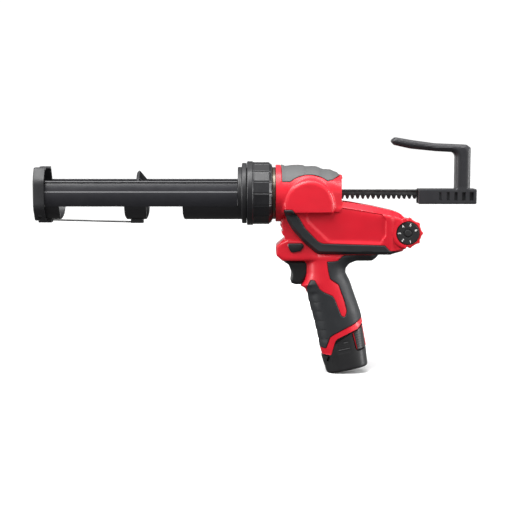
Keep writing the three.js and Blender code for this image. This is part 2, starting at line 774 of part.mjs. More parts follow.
function headPad() {
  const prism = alongY(
    outline([
      [27.5, 13.4],
      [36.9, 13.4],
      [46, 18.4],
      [59, 20.6],
      [71, 18.6],
      [78.6, 15.4],
      [83, 15.4],
      [89, 21],
      [89, 40],
      [27.5, 40],
    ]),
    -40,
    40,
  );
  return padSkin(headShape(PAD.skin), prism);
}

function belt() {
  const prism = alongY(
    outline([
      [31, -15],
      [39, -15],
      [48, -26],
      [54, -37],
      [68, -51],
      [74, -54],
      [139, -54.5],
      [146, -61],
      [160, -61.5],
      [160, -80],
      [20, -80],
      [20, -20],
    ]),
    -40,
    40,
  );
  return padSkin(bodyShape(PAD.skin), prism);
}

function gripPad() {
  const prism = alongY(
    outline([
      [-40, 93.5],
      [-40, 30],
      [-18.6, 28],
      [-12, 37.5],
      [6, 44],
      [40, 56],
      [40, 103],
      [1.2, 103],
      [1, 97],
      [8.2, 89],
      [10.6, 60],
      [7.6, 55],
      [4.4, 59],
      [0.6, 80],
      [-12, 87.8],
      [-16, 93.5],
    ]),
    -40,
    40,
  );
  return padSkin(leant(gripColumn(PAD.skin)), leant(prism)).subtract(bodyShape(PAD.skin + FIT));
}

function addPair(name, whole, finish) {
  add(`${name}_left`, whole.intersect(leftHalf), finish);
  add(`${name}_right`, whole.intersect(rightHalf), finish);
}

addPair("head_pad", headPad(), SOFT_GREY);
addPair("belt_pad", belt(), SOFT_BLACK);
addPair("grip_pad", gripPad(), SOFT_BLACK);

function housingScrew(x, z) {
  const shank = turnedY(rod(SCREW.tipY, SCREW.headY + 1, SCREW.shankR), x, z, SMALL_ROUND_STEPS);
  const head = turnedY(rod(SCREW.headY, SCREW.headY + 3, SCREW.headR), x, z, SMALL_ROUND_STEPS);
  const socket = turnedY(rod(SCREW.headY + 1.4, SCREW.headY + 4, 1.4), x, z, 6);
  return cut(shank.add(head), socket);
}

SCREWS.forEach(([x, z], i) => add(`housing_screw_${i + 1}`, housingScrew(x, z), DARK_STEEL));

// ---------------------------------------------------------------- drive inside the housing
function rackGuide(blank) {
  const slack = 0.4;
  const half = RACK.half + slack;
  const low = RACK.pitch - RACK.module - slack;
  return cut(blank, box(0, 100, -half, half, low, RACK.top + slack));
}

function gearboxCase() {
  const round = turnedX(rod(66, MOTOR.front - FIT, MOTOR.radius - 0.2), 0, MOTOR.z);
  const block = box(44.5, 67, -13, 8.4, -50, -25);
  const gearRoom = turnedY(rod(9.1, 30, DRIVE_R + 1.9), PINION.x, PINION_Z);
  const shaftHole = turnedY(rod(5.6, 9, 2.3), PINION.x, OUTPUT_Z, SMALL_ROUND_STEPS);
  const rotorHole = turnedX(rod(84, 93, 3), 0, MOTOR.z, SMALL_ROUND_STEPS);
  return cut(union(round, block), gearRoom, shaftHole, rotorHole);
}

function motorCan() {
  const { radius, front, back } = MOTOR;
  const shaftHoleR = 3.2;
  const wall = 2;
  const profile = [
    [front, shaftHoleR],
    [front, radius],
    [back, radius],
    [back, radius - wall],
    [front + 3, radius - wall],
    [front + 3, shaftHoleR],
    [front, shaftHoleR],
  ];
  return turnedX(profile, 0, MOTOR.z);
}

function motorRotor() {
  const shaftR = 2.5;
  const coreR = 13;
  const { front, back } = MOTOR;
  const profile = [
    [front - 6, 0],
    [front - 6, shaftR],
    [front + 5, shaftR],
    [front + 5, coreR],
    [back - 6, coreR],
    [back - 6, shaftR],
    [back + 3, shaftR],
    [back + 3, 0],
  ];
  return turnedX(profile, 0, MOTOR.z, 16);
}

function motorEndCap() {
  return turnedX(tube(MOTOR.back + FIT, MOTOR.back + 5, 3, MOTOR.radius - 1.6), 0, MOTOR.z);
}

add("rack_guide_front", rackGuide(turnedX(rod(24.5, 30.5, 24.6))), BLACK_PLASTIC);
add("rack_guide_rear", rackGuide(box(80, 86, -9.5, 9.5, -9, 8)), BLACK_PLASTIC);
add("gearbox_case", gearboxCase(), DARK_STEEL);
add("motor_can", motorCan(), STEEL);
add("motor_rotor", motorRotor(), BRASS);
add("motor_end_cap", motorEndCap(), BLACK_PLASTIC);
add("speed_board", box(96, 126, -13, 13, -60.4, -58.8), BOARD_GREEN);

// ---------------------------------------------------------------- controls
const SWITCH = { front: 66, back: 84, half: 8.5, low: -94, high: -76 };
const SPRING = { front: 57.5, back: 65.6, radius: 3.8, wire: 0.5, turns: 4, z: -85 };

function trigger() {
  const blade = alongY(triggerOutline(0), -TRIGGER.half, TRIGGER.half, 1);
  const stem = turnedX(rod(54, 60, 2.2), 0, SPRING.z, SMALL_ROUND_STEPS);
  return blade.add(stem);
}

function switchBody() {
  const { front, back, half, low, high } = SWITCH;
  return box(front, back, -half, half, low, high);
}

class Helix extends THREE.Curve {
  getPoint(t, target = new THREE.Vector3()) {
    const angle = t * SPRING.turns * Math.PI * 2;
    const x = SPRING.front + SPRING.wire + t * (SPRING.back - SPRING.front - 2 * SPRING.wire);
    const z = SPRING.z + Math.cos(angle) * SPRING.radius;
    return target.set(x, Math.sin(angle) * SPRING.radius, z);
  }
}

function triggerSpring() {
  const coil = new THREE.ExtrudeGeometry(circle(0, 0, SPRING.wire), {
    steps: SPRING.turns * 8,
    curveSegments: 3,
    bevelEnabled: false,
    extrudePath: new Helix(),
  });
  return solidOf(coil);
}

function dialOutline() {
  const ripple = 0.9;
  const steps = DIAL.lobes * 10;
  const points = [];
  for (let i = 0; i < steps; i++) {
    const angle = (i / steps) * Math.PI * 2;
    const radius = DIAL.radius - ripple + ripple * Math.cos(angle * DIAL.lobes);
    points.push(new THREE.Vector2(DIAL.x + radius * Math.cos(angle), DIAL.z + radius * Math.sin(angle)));
  }
  return new THREE.Shape(points);
}

function speedDial() {
  const wheel = alongY(dialOutline(), DIAL.front, DIAL.back);
  const shaft = turnedY(rod(DIAL.back - 1, 0, 3), DIAL.x, DIAL.z, SMALL_ROUND_STEPS);
  const recess = turnedY(rod(DIAL.front - 1, DIAL.front + 1.2, DIAL.faceR + FIT), DIAL.x, DIAL.z);
  return cut(wheel.add(shaft), recess);
}

function dialFace() {
  const plate = DIAL.front + 0.2;
  const profile = [
    [DIAL.front - 0.8, 0],
    [DIAL.front - 0.8, 4.2],
    [plate - 0.4, 4.4],
    [plate - 0.4, DIAL.faceR],
    [plate + 0.6, DIAL.faceR],
    [plate + 0.6, 0],
  ];
  return turnedY(profile, DIAL.x, DIAL.z);
}

add("trigger", trigger(), BLACK_PLASTIC);
add("trigger_spring", triggerSpring(), STEEL);
add("switch_body", switchBody(), BLACK_PLASTIC);
add("lock_button", alongY(lockOutline(0), LOCK.front, LOCK.back), BLACK_PLASTIC);
add("speed_dial", speedDial(), RED_PLASTIC);
add("dial_face", dialFace(), BLACK_PLASTIC);

// ---------------------------------------------------------------- battery, in the grip's frame
const LATCH = { front: 13.4, back: 22.6, low: 18.5, high: 36.5, outer: 20, inner: 18.7, travel: 1.2 };
const FOOT_HALF = 19.4;
const CELL_LOW = 7;

function latchPlate(side, grow, inner) {
  const { front, back, low, high, outer } = LATCH;
  const near = side < 0 ? -outer - 4 * grow : inner;
  const far = side < 0 ? -inner : outer + 4 * grow;
  return box(front - grow, back + grow, near, far, low - grow, high + grow);
}

function batteryCase() {
  const footShape = outline([
    [-22.4, 0, 3],
    [-24.4, 24],
    [-26, 60],
    [28, 60],
    [26.1, 46],
    [24, 20],
    [22.4, 0, 3],
  ]);
  const foot = alongY(footShape, -FOOT_HALF, FOOT_HALF, 1.4).intersect(belowMouth(FIT));
  const { stem, stemHalf, stemTop, wall } = BATTERY;
  const column = box(-stem, stem, -stemHalf, stemHalf, 12, stemTop - 2);
  const room = box(-stem + wall, stem - wall, -stemHalf + wall, stemHalf - wall, 6, stemTop + 1);
  const floorInner = LATCH.inner - LATCH.travel - FIT;
  const pockets = [-1, 1].map((side) => latchPlate(side, FIT, floorInner));
  return cut(union(foot, column), room, ...pockets);
}

function batteryCell(x, y) {
  return turnedZ(rod(CELL_LOW, CELL_LOW + BATTERY.cell, BATTERY.cellR), x, y, 20);
}

function batteryContacts() {
  const low = BATTERY.stemTop + FIT;
  const blades = [-8, 0, 8].map((x) => box(x - 1.5, x + 1.5, -5, 5, low, low + 2.5));
  return union(box(-11, 11, -6, 6, low, low + 0.9), ...blades);
}

const LID = [BATTERY.stemTop - 1.7, BATTERY.stemTop];
const { stem: STEM, stemHalf: STEM_HALF } = BATTERY;
add("battery_case", batteryCase(), BLACK_PLASTIC, gripFrame);
add("battery_lid", box(-STEM, STEM, -STEM_HALF, STEM_HALF, ...LID), BLACK_PLASTIC, gripFrame);
add("battery_cell_1", batteryCell(-8.6, -7.6), CELL_WRAP, gripFrame);
add("battery_cell_2", batteryCell(8.6, -7.6), CELL_WRAP, gripFrame);
add("battery_cell_3", batteryCell(0, 7.5), CELL_WRAP, gripFrame);
add("battery_contacts", batteryContacts(), BRASS, gripFrame);
add("battery_latch_left", latchPlate(-1, 0, LATCH.inner), RED_PLASTIC, gripFrame);
add("battery_latch_right", latchPlate(1, 0, LATCH.inner), RED_PLASTIC, gripFrame);
add("terminal_block", box(-12, 12, -8, 8, 81.4, 85.4), BLACK_PLASTIC, gripFrame);

// Stand the gun on the lowest corner of its battery, with the origin in the middle below it.
const bounds = new THREE.Box3().setFromObject(gun, true);
const middle = bounds.getCenter(new THREE.Vector3());
gun.position.set(-middle.x, -middle.y, -bounds.min.z);

export default gun;
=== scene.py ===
"""The looks of the cordless caulking gun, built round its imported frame."""

import json
import math

import bmesh
import bpy
import numpy as np
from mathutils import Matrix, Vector
from mathutils.geometry import delaunay_2d_cdt


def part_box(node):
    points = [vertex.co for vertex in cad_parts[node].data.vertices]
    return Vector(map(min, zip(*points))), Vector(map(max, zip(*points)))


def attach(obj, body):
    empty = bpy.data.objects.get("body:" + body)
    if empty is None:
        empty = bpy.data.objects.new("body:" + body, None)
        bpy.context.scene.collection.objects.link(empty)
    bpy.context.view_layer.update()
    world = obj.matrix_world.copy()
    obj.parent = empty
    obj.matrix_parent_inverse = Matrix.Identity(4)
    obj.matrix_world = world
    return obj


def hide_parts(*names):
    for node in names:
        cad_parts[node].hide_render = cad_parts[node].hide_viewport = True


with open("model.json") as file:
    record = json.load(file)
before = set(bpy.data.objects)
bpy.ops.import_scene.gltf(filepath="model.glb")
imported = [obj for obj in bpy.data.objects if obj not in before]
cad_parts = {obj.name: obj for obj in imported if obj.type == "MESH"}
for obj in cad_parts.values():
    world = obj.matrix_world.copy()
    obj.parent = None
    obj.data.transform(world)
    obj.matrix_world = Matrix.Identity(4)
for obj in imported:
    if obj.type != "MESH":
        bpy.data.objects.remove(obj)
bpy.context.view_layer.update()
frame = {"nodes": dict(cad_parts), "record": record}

# ------------------------------------------------------------------ the drawing frame
# Shapes are drawn in millimetres: X and Z from the plunger axis at the mouth of the housing, and Y
# from the middle plane, with the dial side negative.
MM = 0.001
COLLAR_FRONT = -9.1
collar_low, collar_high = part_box("collar_nut")
AXIS = np.array([collar_low.x - COLLAR_FRONT * MM, 0.0, (collar_low.z + collar_high.z) / 2])
TILT = math.radians(12)
FOOT = (98.9, -188.3)
SIDES = ((-1, "left"), (1, "right"))


def cad(node):
    """The low and high corners of a CAD node, in the drawing frame."""
    low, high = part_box(node)
    return (np.array(low) - AXIS) / MM, (np.array(high) - AXIS) / MM


def leant(points):
    """From the grip's upright frame, about the foot of the battery, to the drawing frame."""
    x, y, z = np.asarray(points, float).T
    cos, sin = math.cos(TILT), math.sin(TILT)
    return np.stack([FOOT[0] + x * cos - z * sin, y, FOOT[1] + x * sin + z * cos], 1)


def upright(plan):
    """From X and Z in the drawing frame to the grip's upright frame."""
    x, z = plan[:, 0] - FOOT[0], plan[:, 1] - FOOT[1]
    cos, sin = math.cos(TILT), math.sin(TILT)
    return np.stack([x * cos + z * sin, z * cos - x * sin], 1)


# ------------------------------------------------------------------ plane geometry
def unit(vector):
    return vector / np.linalg.norm(vector)


def evened(points, step, closed=True):
    """The same line with no stretch longer than a step."""
    points = [np.asarray(p, float) for p in points]
    ends = points[1:] + points[:1] if closed else points[1:]
    rows = []
    for start, end in zip(points, ends):
        count = max(1, math.ceil(np.linalg.norm(end - start) / step))
        rows += [start + (end - start) * k / count for k in range(count)]
    if not closed:
        rows.append(points[-1])
    kept = [rows[0]]
    for row in rows[1:]:
        if np.linalg.norm(row - kept[-1]) > 1e-3:
            kept.append(row)
    if closed and np.linalg.norm(kept[0] - kept[-1]) < 1e-3:
        kept.pop()
    return np.array(kept)


def path(corners, step=1.1):
    """A closed outline through corners (a, b) or (a, b, radius), the second kind rounded by an arc."""
    points = []
    for i, (a, b, *radius) in enumerate(corners):
        here = np.array([a, b], float)
        before = np.array(corners[i - 1][:2], float) - here
        after = np.array(corners[(i + 1) % len(corners)][:2], float) - here
        half = 0.5 * math.acos(np.clip(unit(before) @ unit(after), -1, 1))
        if not radius or half > math.pi / 2 - 0.01:
            points.append(here)
            continue
        longest = 0.49 * min(np.linalg.norm(before), np.linalg.norm(after))
        reach = min(radius[0] / math.tan(half), longest)
        centre = here + unit(unit(before) + unit(after)) * reach / math.cos(half)
        start = here + unit(before) * reach - centre
        end = here + unit(after) * reach - centre
        turn = math.atan2(start[0] * end[1] - start[1] * end[0], start @ end)
        count = max(2, math.ceil(abs(turn) / 0.35), math.ceil(abs(turn) * np.linalg.norm(start) / step))
        for k in range(count + 1):
            cos, sin = math.cos(turn * k / count), math.sin(turn * k / count)
            points.append(centre + [start[0] * cos - start[1] * sin, start[0] * sin + start[1] * cos])
    return evened(points, step)


def arc(a, b, radius, start, end, count=12):
    """Corners along part of a circle, from one angle in degrees to another."""
    angles = np.radians(np.linspace(start, end, count))
    return [(a + radius * math.cos(t), b + radius * math.sin(t)) for t in angles]


def chunked(work, points, size=2048):
    """A measure of every point, taken on a few of them at a time to spare memory."""
    return np.concatenate([work(points[at : at + size]) for at in range(0, max(1, len(points)), size)])


def distance(points, line, closed=True):
    starts = line if closed else line[:-1]
    along = (np.roll(line, -1, 0) if closed else line[1:]) - starts
    length = np.maximum((along * along).sum(1), 1e-12)

    def nearest(few):
        to = few[:, None] - starts
        share = np.clip((to * along).sum(2) / length, 0, 1)
        gap = to - share[..., None] * along
        return np.sqrt((gap * gap).sum(2).min(1))

    return chunked(nearest, points)


def inside(points, ring):
    after = np.roll(ring, -1, 0)
    rise = after[:, 1] - ring[:, 1]
    slope = (after[:, 0] - ring[:, 0]) / np.where(rise == 0, 1, rise)

    def odd(few):
        x, z = few[:, :1], few[:, 1:]
        crosses = (ring[:, 1] > z) != (after[:, 1] > z)
        right = x < ring[:, 0] + (z - ring[:, 1]) * slope
        return (crosses & right).sum(1) % 2 == 1

    return chunked(odd, points)


def depth(points, ring):
    """How far inside an outline each point is, negative outside."""
    return np.where(inside(points, ring), 1, -1) * distance(points, ring)


def away(points, centre):
    return np.hypot(points[:, 0] - centre[0], points[:, 1] - centre[1])


def ease(share):
    share = np.clip(share, 0, 1)
    return share * share * (3 - 2 * share)


def rollover(gap, radius):
    """How far a rim with a round edge has dropped, at a gap from the rim."""
    short = radius - np.clip(gap, 0, radius)
    return radius - np.sqrt(radius * radius - short * short)


def blended(first, second, width):
    """The larger of two heights, with a fillet where they meet."""
    share = np.clip(1 - np.abs(first - second) / width, 0, 1)
    return np.maximum(first, second) + share * share * width / 4


# ------------------------------------------------------------------ meshes
RINGS = (0.12, 0.45, 1.0, 1.8)
FEATURE = (-0.9, -0.35, -0.1, 0.1, 0.35, 0.9)


def beside(line, offset, closed=True):
    """A copy of a line, moved to its left by an offset."""
    if closed:
        along = np.roll(line, -1, 0) - np.roll(line, 1, 0)
    else:
        along = np.gradient(line, axis=0)
    size = np.linalg.norm(along, axis=1, keepdims=True)
    return line + np.stack([-along[:, 1], along[:, 0]], 1) / size * offset


def anticlockwise(ring):
    after = np.roll(ring, -1, 0)
    area = (ring[:, 0] * after[:, 1] - ring[:, 1] * after[:, 0]).sum()
    return ring if area > 0 else ring[::-1]


class Plan:
    """The points and edges that a relief's triangles are drawn between."""

    def __init__(self):
        self.points, self.edges, self.taken = [], [], set()

    def add(self, row, mask, closed, linked=True):
        numbers = []
        for point, wanted in zip(row, mask):
            cell = (round(point[0] / 0.08), round(point[1] / 0.08))
            if not wanted or cell in self.taken:
                numbers.append(None)
                continue
            self.taken.add(cell)
            numbers.append(len(self.points))
            self.points.append(point)
        if linked:
            ends = numbers[1:] + (numbers[:1] if closed else [])
            self.edges += [(a, b) for a, b in zip(numbers, ends) if a is not None and b is not None]


def relief(outline, front, back, plane="xz", spacing=1.8, rings=RINGS, features=(), holes=()):
    """A closed body over an outline, between a front and a back height, with extra rows along features.

    A feature is a line, or a pair of a line and its offsets, and closed when its ends meet."""
    loops = [anticlockwise(outline)] + [anticlockwise(hole)[::-1] for hole in holes]

    def allowed(points, margin):
        wanted = inside(points, loops[0])
        for hole in loops[1:]:
            wanted &= ~inside(points, hole)
        for loop in loops:
            wanted &= distance(points, loop) > margin
        return wanted

    plan = Plan()
    for loop in loops:
        plan.add(loop, np.ones(len(loop), bool), True)
    for feature in features:
        line, offsets = feature if isinstance(feature, tuple) else (feature, FEATURE)
        closed = np.linalg.norm(line[0] - line[-1]) < 3
        for offset in offsets:
            row = beside(line, offset, closed)
            plan.add(row, allowed(row, 0.08) & (distance(row, line, closed) > abs(offset) * 0.93), closed)
    for ring in rings:
        for loop in loops:
            row = beside(loop, ring)
            plan.add(row, allowed(row, ring * 0.93), True)
    low, high = outline.min(0), outline.max(0)
    ys = np.arange(low[1], high[1], spacing * 0.87)
    xs = np.arange(low[0], high[0], spacing)
    grid = np.array([(x + (j % 2) * spacing / 2, y) for j, y in enumerate(ys) for x in xs])
    clear = allowed(grid, (rings[-1] if rings else 0) + spacing * 0.5)
    for feature in features:
        line = feature[0] if isinstance(feature, tuple) else feature
        closed = np.linalg.norm(line[0] - line[-1]) < 3
        clear &= distance(grid, line, closed) > 0.9 + spacing * 0.35
    plan.add(grid, clear, False, linked=False)
    points, _, faces, *_ = delaunay_2d_cdt([Vector(p) for p in plan.points], plan.edges, [], 0, 1e-4)
    points = np.array(points)
    faces = np.array(faces)
    middles = points[faces].mean(1)
    wanted = inside(middles, loops[0])
    for hole in loops[1:]:
        wanted &= ~inside(middles, hole)
    faces = faces[wanted]
    used = np.unique(faces)
    number = np.full(len(points), -1)
    number[used] = np.arange(len(used))
    points, faces = points[used], number[faces]
    near, far = front(points), back(points)
    count = len(points)
    a, b = points.T
    axes = {"xz": (0, None, 1), "yz": (None, 0, 1), "xy": (0, 1, None)}[plane]
    solid = np.concatenate([
        np.stack([height if k is None else (a, b)[k] for k in axes], 1) for height in (near, far)
    ])
    directed = {(int(t[i]), int(t[(i + 1) % 3])) for t in faces for i in range(3)}
    rim = [edge for edge in directed if edge[::-1] not in directed]
    sides = [(q, p, p + count, q + count) for p, q in sorted(rim)]
    lids = [tuple(face) for face in faces.tolist()]
    floors = [(c + count, q + count, p + count) for p, q, c in faces.tolist()]
    return solid, [*lids, *floors, *sides]


def mirrored(outline, half, **rest):
    """A relief with the same half width on both sides of the middle plane."""
    return relief(outline, lambda plan: -half(plan), half, **rest)


def revolve(profile, axis="x", centre=(0, 0), steps=96, wobble=None):
    """A closed profile of (along, radius), turned about a line along an axis; wobble changes the radius."""
    along, radius = np.asarray(profile, float).T
    angle = (np.arange(steps) * math.tau / steps)[:, None]
    along, radius = (np.broadcast_to(part, (steps, len(part))) for part in (along, radius))
    if wobble:
        radius = radius + wobble(angle, along, radius)
    p, q = centre[0] + radius * np.cos(angle), centre[1] + radius * np.sin(angle)
    order = {"x": (along, p, q), "y": (p, along, q), "z": (p, q, along)}[axis]
    points = np.stack([part.ravel() for part in order], 1)
    width = len(profile)
    faces = []
    off_axis = [j for j in range(width) if max(profile[j][1], profile[(j + 1) % width][1]) > 1e-6]
    for i in range(steps):
        here, there = i * width, (i + 1) % steps * width
        faces += [(here + j, there + j, there + (j + 1) % width, here + (j + 1) % width) for j in off_axis]
    return points, faces


def drum(start, end, radius, bore=0):
    """The profile of a plain cylinder, for revolve."""
    return [(start, bore), (start, radius), (end, radius), (end, bore)]


def tube(line, radius, sides=12):
    """A round bar along a line of points."""
    line = np.asarray(line, float)
    along = np.gradient(line, axis=0)
    points = []
    for i, (centre, direction) in enumerate(zip(line, along)):
        across = unit(np.cross(direction, [0.0, 1.0, 0.0]))
        other = unit(np.cross(direction, across))
        for k in range(sides):
            turn = math.tau * k / sides
            points.append(centre + radius * (math.cos(turn) * across + math.sin(turn) * other))
    faces = []
    for i in range(len(line) - 1):
        for k in range(sides):
            on = (k + 1) % sides
            faces.append((i * sides + k, i * sides + on, (i + 1) * sides + on, (i + 1) * sides + k))
    faces.append(tuple(range(sides)))
    faces.append(tuple(range((len(line) - 1) * sides, len(line) * sides)))
    return np.array(points), faces


def block(low, high):
    xs, ys, zs = zip(low, high)
    points = np.array([(x, y, z) for x in xs for y in ys for z in zs])
    return points, [(0, 1, 3, 2), (4, 6, 7, 5), (0, 4, 5, 1), (2, 3, 7, 6), (0, 2, 6, 4), (1, 5, 7, 3)]


def mesh_of(name, solid):
    points, faces = solid
    mesh = bpy.data.meshes.new(name)
    mesh.from_pydata((AXIS + np.asarray(points) * MM).tolist(), [], faces)
    tidy = bmesh.new()
    tidy.from_mesh(mesh)
    bmesh.ops.remove_doubles(tidy, verts=tidy.verts, dist=1e-6)
    bmesh.ops.delete(tidy, geom=[edge for edge in tidy.edges if not edge.link_faces], context="EDGES")
    bmesh.ops.delete(tidy, geom=[vert for vert in tidy.verts if not vert.link_faces], context="VERTS")
    bmesh.ops.recalc_face_normals(tidy, faces=tidy.faces)
    tidy.to_mesh(mesh)
    tidy.free()
    return mesh


def placed(name, mesh):
    thing = bpy.data.objects.new(name, mesh)
    bpy.context.scene.collection.objects.link(thing)
    return thing


def combined(thing, operation, *solids):
    """The object's mesh after a boolean step with each closed solid."""
    for solid in solids:
        other = placed("tool", mesh_of("tool", solid))
        step = thing.modifiers.new("step", "BOOLEAN")
        step.operation = operation
        step.solver = "EXACT"
        step.object = other
        bpy.context.view_layer.update()
        made = bpy.data.meshes.new_from_object(thing.evaluated_get(bpy.context.evaluated_depsgraph_get()))
        thing.modifiers.clear()
        thing.data = made
        bpy.data.objects.remove(other)


def piece(name, solid, body, slot, stands_for=(), join=(), cut=(), angle=32, finish=None):
    """A finished piece that rides on a body, in place of CAD nodes."""
    thing = placed(name, mesh_of(name, solid))
    combined(thing, "UNION", *join)
    combined(thing, "DIFFERENCE", *cut)
    mesh = thing.data
    mesh.name = name
    mesh.materials.clear()
    mesh.materials.append(FINISHES[finish or slot])
    mesh.polygons.foreach_set("use_smooth", [True] * len(mesh.polygons))
    mesh.set_sharp_from_angle(angle=math.radians(angle))
    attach(thing, body)
    if stands_for:
        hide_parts(*stands_for)
    return thing


# ------------------------------------------------------------------ finishes
class Graph:
    """A material's nodes, made one after another and linked by name."""

    def __init__(self, owner):
        owner.use_nodes = True
        self.material = owner
        self.tree = owner.node_tree
        self.shader = self.tree.nodes.get("Principled BSDF") or self.tree.nodes["Background"]
        coordinates = self.add("ShaderNodeTexCoord")
        self.place, self.direction = coordinates.outputs["Object"], coordinates.outputs["Generated"]

    def add(self, kind, **inputs):
        node = self.tree.nodes.new(kind)
        for name, value in inputs.items():
            self.put(node.inputs[name.replace("_", " ")], value)
        return node

    def put(self, socket, value):
        if isinstance(value, bpy.types.NodeSocket):
            self.tree.links.new(value, socket)
        else:
            socket.default_value = value

    def noise(self, size, detail=3.0, stretch=(1, 1, 1)):
        """Noise whose features are about a size across, in millimetres."""
        spread = self.add("ShaderNodeMapping", Vector=self.place, Scale=stretch).outputs[0]
        often = 1 / (size * MM)
        noise = self.add("ShaderNodeTexNoise", Vector=spread, Scale=often, Detail=detail, Roughness=0.55)
        return noise.outputs["Fac"]

    def ramp(self, value, low, high, start=0.35, end=0.65):
        node = self.add("ShaderNodeMapRange", Value=value)
        for name, number in (("From Min", start), ("From Max", end), ("To Min", low), ("To Max", high)):
            node.inputs[name].default_value = number
        return node.outputs[0]

    def mix(self, share, first, second):
        node = self.tree.nodes.new("ShaderNodeMix")
        node.data_type = "RGBA"
        self.put(node.inputs["Factor"], share)
        self.put(node.inputs["A"], first)
        self.put(node.inputs["B"], second)
        return node.outputs["Result"]

    def math(self, operation, first, second):
        node = self.tree.nodes.new("ShaderNodeMath")
        node.operation = operation
        self.put(node.inputs[0], first)
        self.put(node.inputs[1], second)
        return node.outputs[0]

    def bump(self, layers):
        """Bumps of (height, depth in millimetres), one on top of another."""
        normal = None
        for height, deep in layers:
            node = self.add("ShaderNodeBump", Height=height, Distance=deep * MM, Strength=1.0)
            if normal:
                self.put(node.inputs["Normal"], normal)
            normal = node.outputs[0]
        self.put(self.shader.inputs["Normal"], normal)


def tint(colour, share):
    return tuple(min(1.0, channel * share) for channel in colour) + (1.0,)


FINISHES = {}


def moulded(name, colour, rough, grain=0.5, deep=0.008, worn=0.12, coat=0.0, scuff=0.06):
    """Moulded plastic or rubber: spark-eroded grain, faint flow marks, rubbed edges and fine scuffs."""
    graph = Graph(bpy.data.materials.new(name))
    shader = graph.shader
    flow = graph.noise(30, 1.0, (1, 1, 1.8))
    base = graph.mix(graph.ramp(flow, 0, 1), tint(colour, 0.96), tint(colour, 1.05))
    speck = graph.noise(0.5, 2.0)
    base = graph.mix(graph.ramp(speck, 0, 0.25, 0.5, 0.75), base, tint(colour, 1.18))
    edge = graph.add("ShaderNodeNewGeometry").outputs["Pointiness"]
    patchy = graph.ramp(graph.noise(5), 0.3, 1)
    rub = graph.math("MULTIPLY", graph.ramp(edge, 0, worn, 0.53, 0.62), patchy)
    grey = sum(colour) / 3
    pale = tuple(0.6 * channel + 0.4 * grey + 0.04 for channel in colour)
    graph.put(shader.inputs["Base Color"], graph.mix(rub, base, tint(pale, 1.15)))
    scratch = graph.noise(2.2, 4.0, (0.12, 1, 1))
    patches = graph.ramp(graph.noise(9), rough - 0.03, rough + 0.04)
    scuffed = graph.ramp(scratch, 0, scuff, 0.58, 0.72)
    graph.put(shader.inputs["Roughness"], graph.math("ADD", patches, scuffed))
    shader.inputs["Coat Weight"].default_value = coat
    shader.inputs["Coat Roughness"].default_value = 0.12
    graph.bump([(graph.noise(12, 1.0), 0.03), (graph.noise(grain, 2.0), deep), (scratch, 0.003)])
    FINISHES[name] = graph.material


def metal(name, colour, rough, drawn=(0.04, 1, 1), worn=None):
    """Drawn, ground or blackened metal, with its lay along one axis."""
    graph = Graph(bpy.data.materials.new(name))
    shader = graph.shader
    shader.inputs["Metallic"].default_value = 1.0
    lay = graph.noise(0.35, 3.0, drawn)
    stain = graph.noise(14, 3.0)
    base = graph.mix(graph.ramp(lay, 0, 1, 0.3, 0.7), tint(colour, 0.82), tint(colour, 1.12))
    base = graph.mix(graph.ramp(stain, 0, 0.3, 0.5, 0.7), base, tint(colour, 0.7))
    if worn:
        edge = graph.add("ShaderNodeNewGeometry").outputs["Pointiness"]
        patchy = graph.ramp(graph.noise(3), 0.2, 1)
        rub = graph.math("MULTIPLY", graph.ramp(edge, 0, 0.8, 0.52, 0.6), patchy)
        base = graph.mix(rub, base, tint(worn, 1))
    graph.put(shader.inputs["Base Color"], base)
    graph.put(shader.inputs["Roughness"], graph.ramp(lay, rough - 0.07, rough + 0.12, 0.3, 0.7))
    graph.bump([(lay, 0.006), (graph.noise(4, 2.0), 0.02)])
    FINISHES[name] = graph.material


def wound_copper():
    """Copper wire wound in close turns."""
    graph = Graph(bpy.data.materials.new("wound_copper"))
    turns = graph.add("ShaderNodeTexWave", Vector=graph.place, Scale=1 / (2.2 * MM), Distortion=1.5)
    wave = turns.outputs["Fac"]
    copper = graph.mix(wave, (0.25, 0.1, 0.04, 1), (0.62, 0.3, 0.14, 1))
    graph.put(graph.shader.inputs["Base Color"], copper)
    graph.shader.inputs["Metallic"].default_value = 0.8
    graph.put(graph.shader.inputs["Roughness"], graph.ramp(graph.noise(1), 0.3, 0.5))
    graph.bump([(wave, 0.15)])
    FINISHES["motor_core"] = graph.material


def circuit_board():
    """Green lacquer over copper tracks."""
    graph = Graph(bpy.data.materials.new("circuit_board"))
    cells = graph.add("ShaderNodeTexVoronoi", Vector=graph.place, Scale=1 / (3 * MM)).outputs["Distance"]
    tracks = graph.ramp(cells, 1, 0, 0.05, 0.12)
    green = graph.mix(tracks, (0.03, 0.14, 0.07, 1), (0.45, 0.36, 0.12, 1))
    graph.put(graph.shader.inputs["Base Color"], green)
    graph.put(graph.shader.inputs["Roughness"], graph.ramp(graph.noise(2), 0.3, 0.45))
    graph.bump([(tracks, 0.03)])
    FINISHES["board_green"] = graph.material


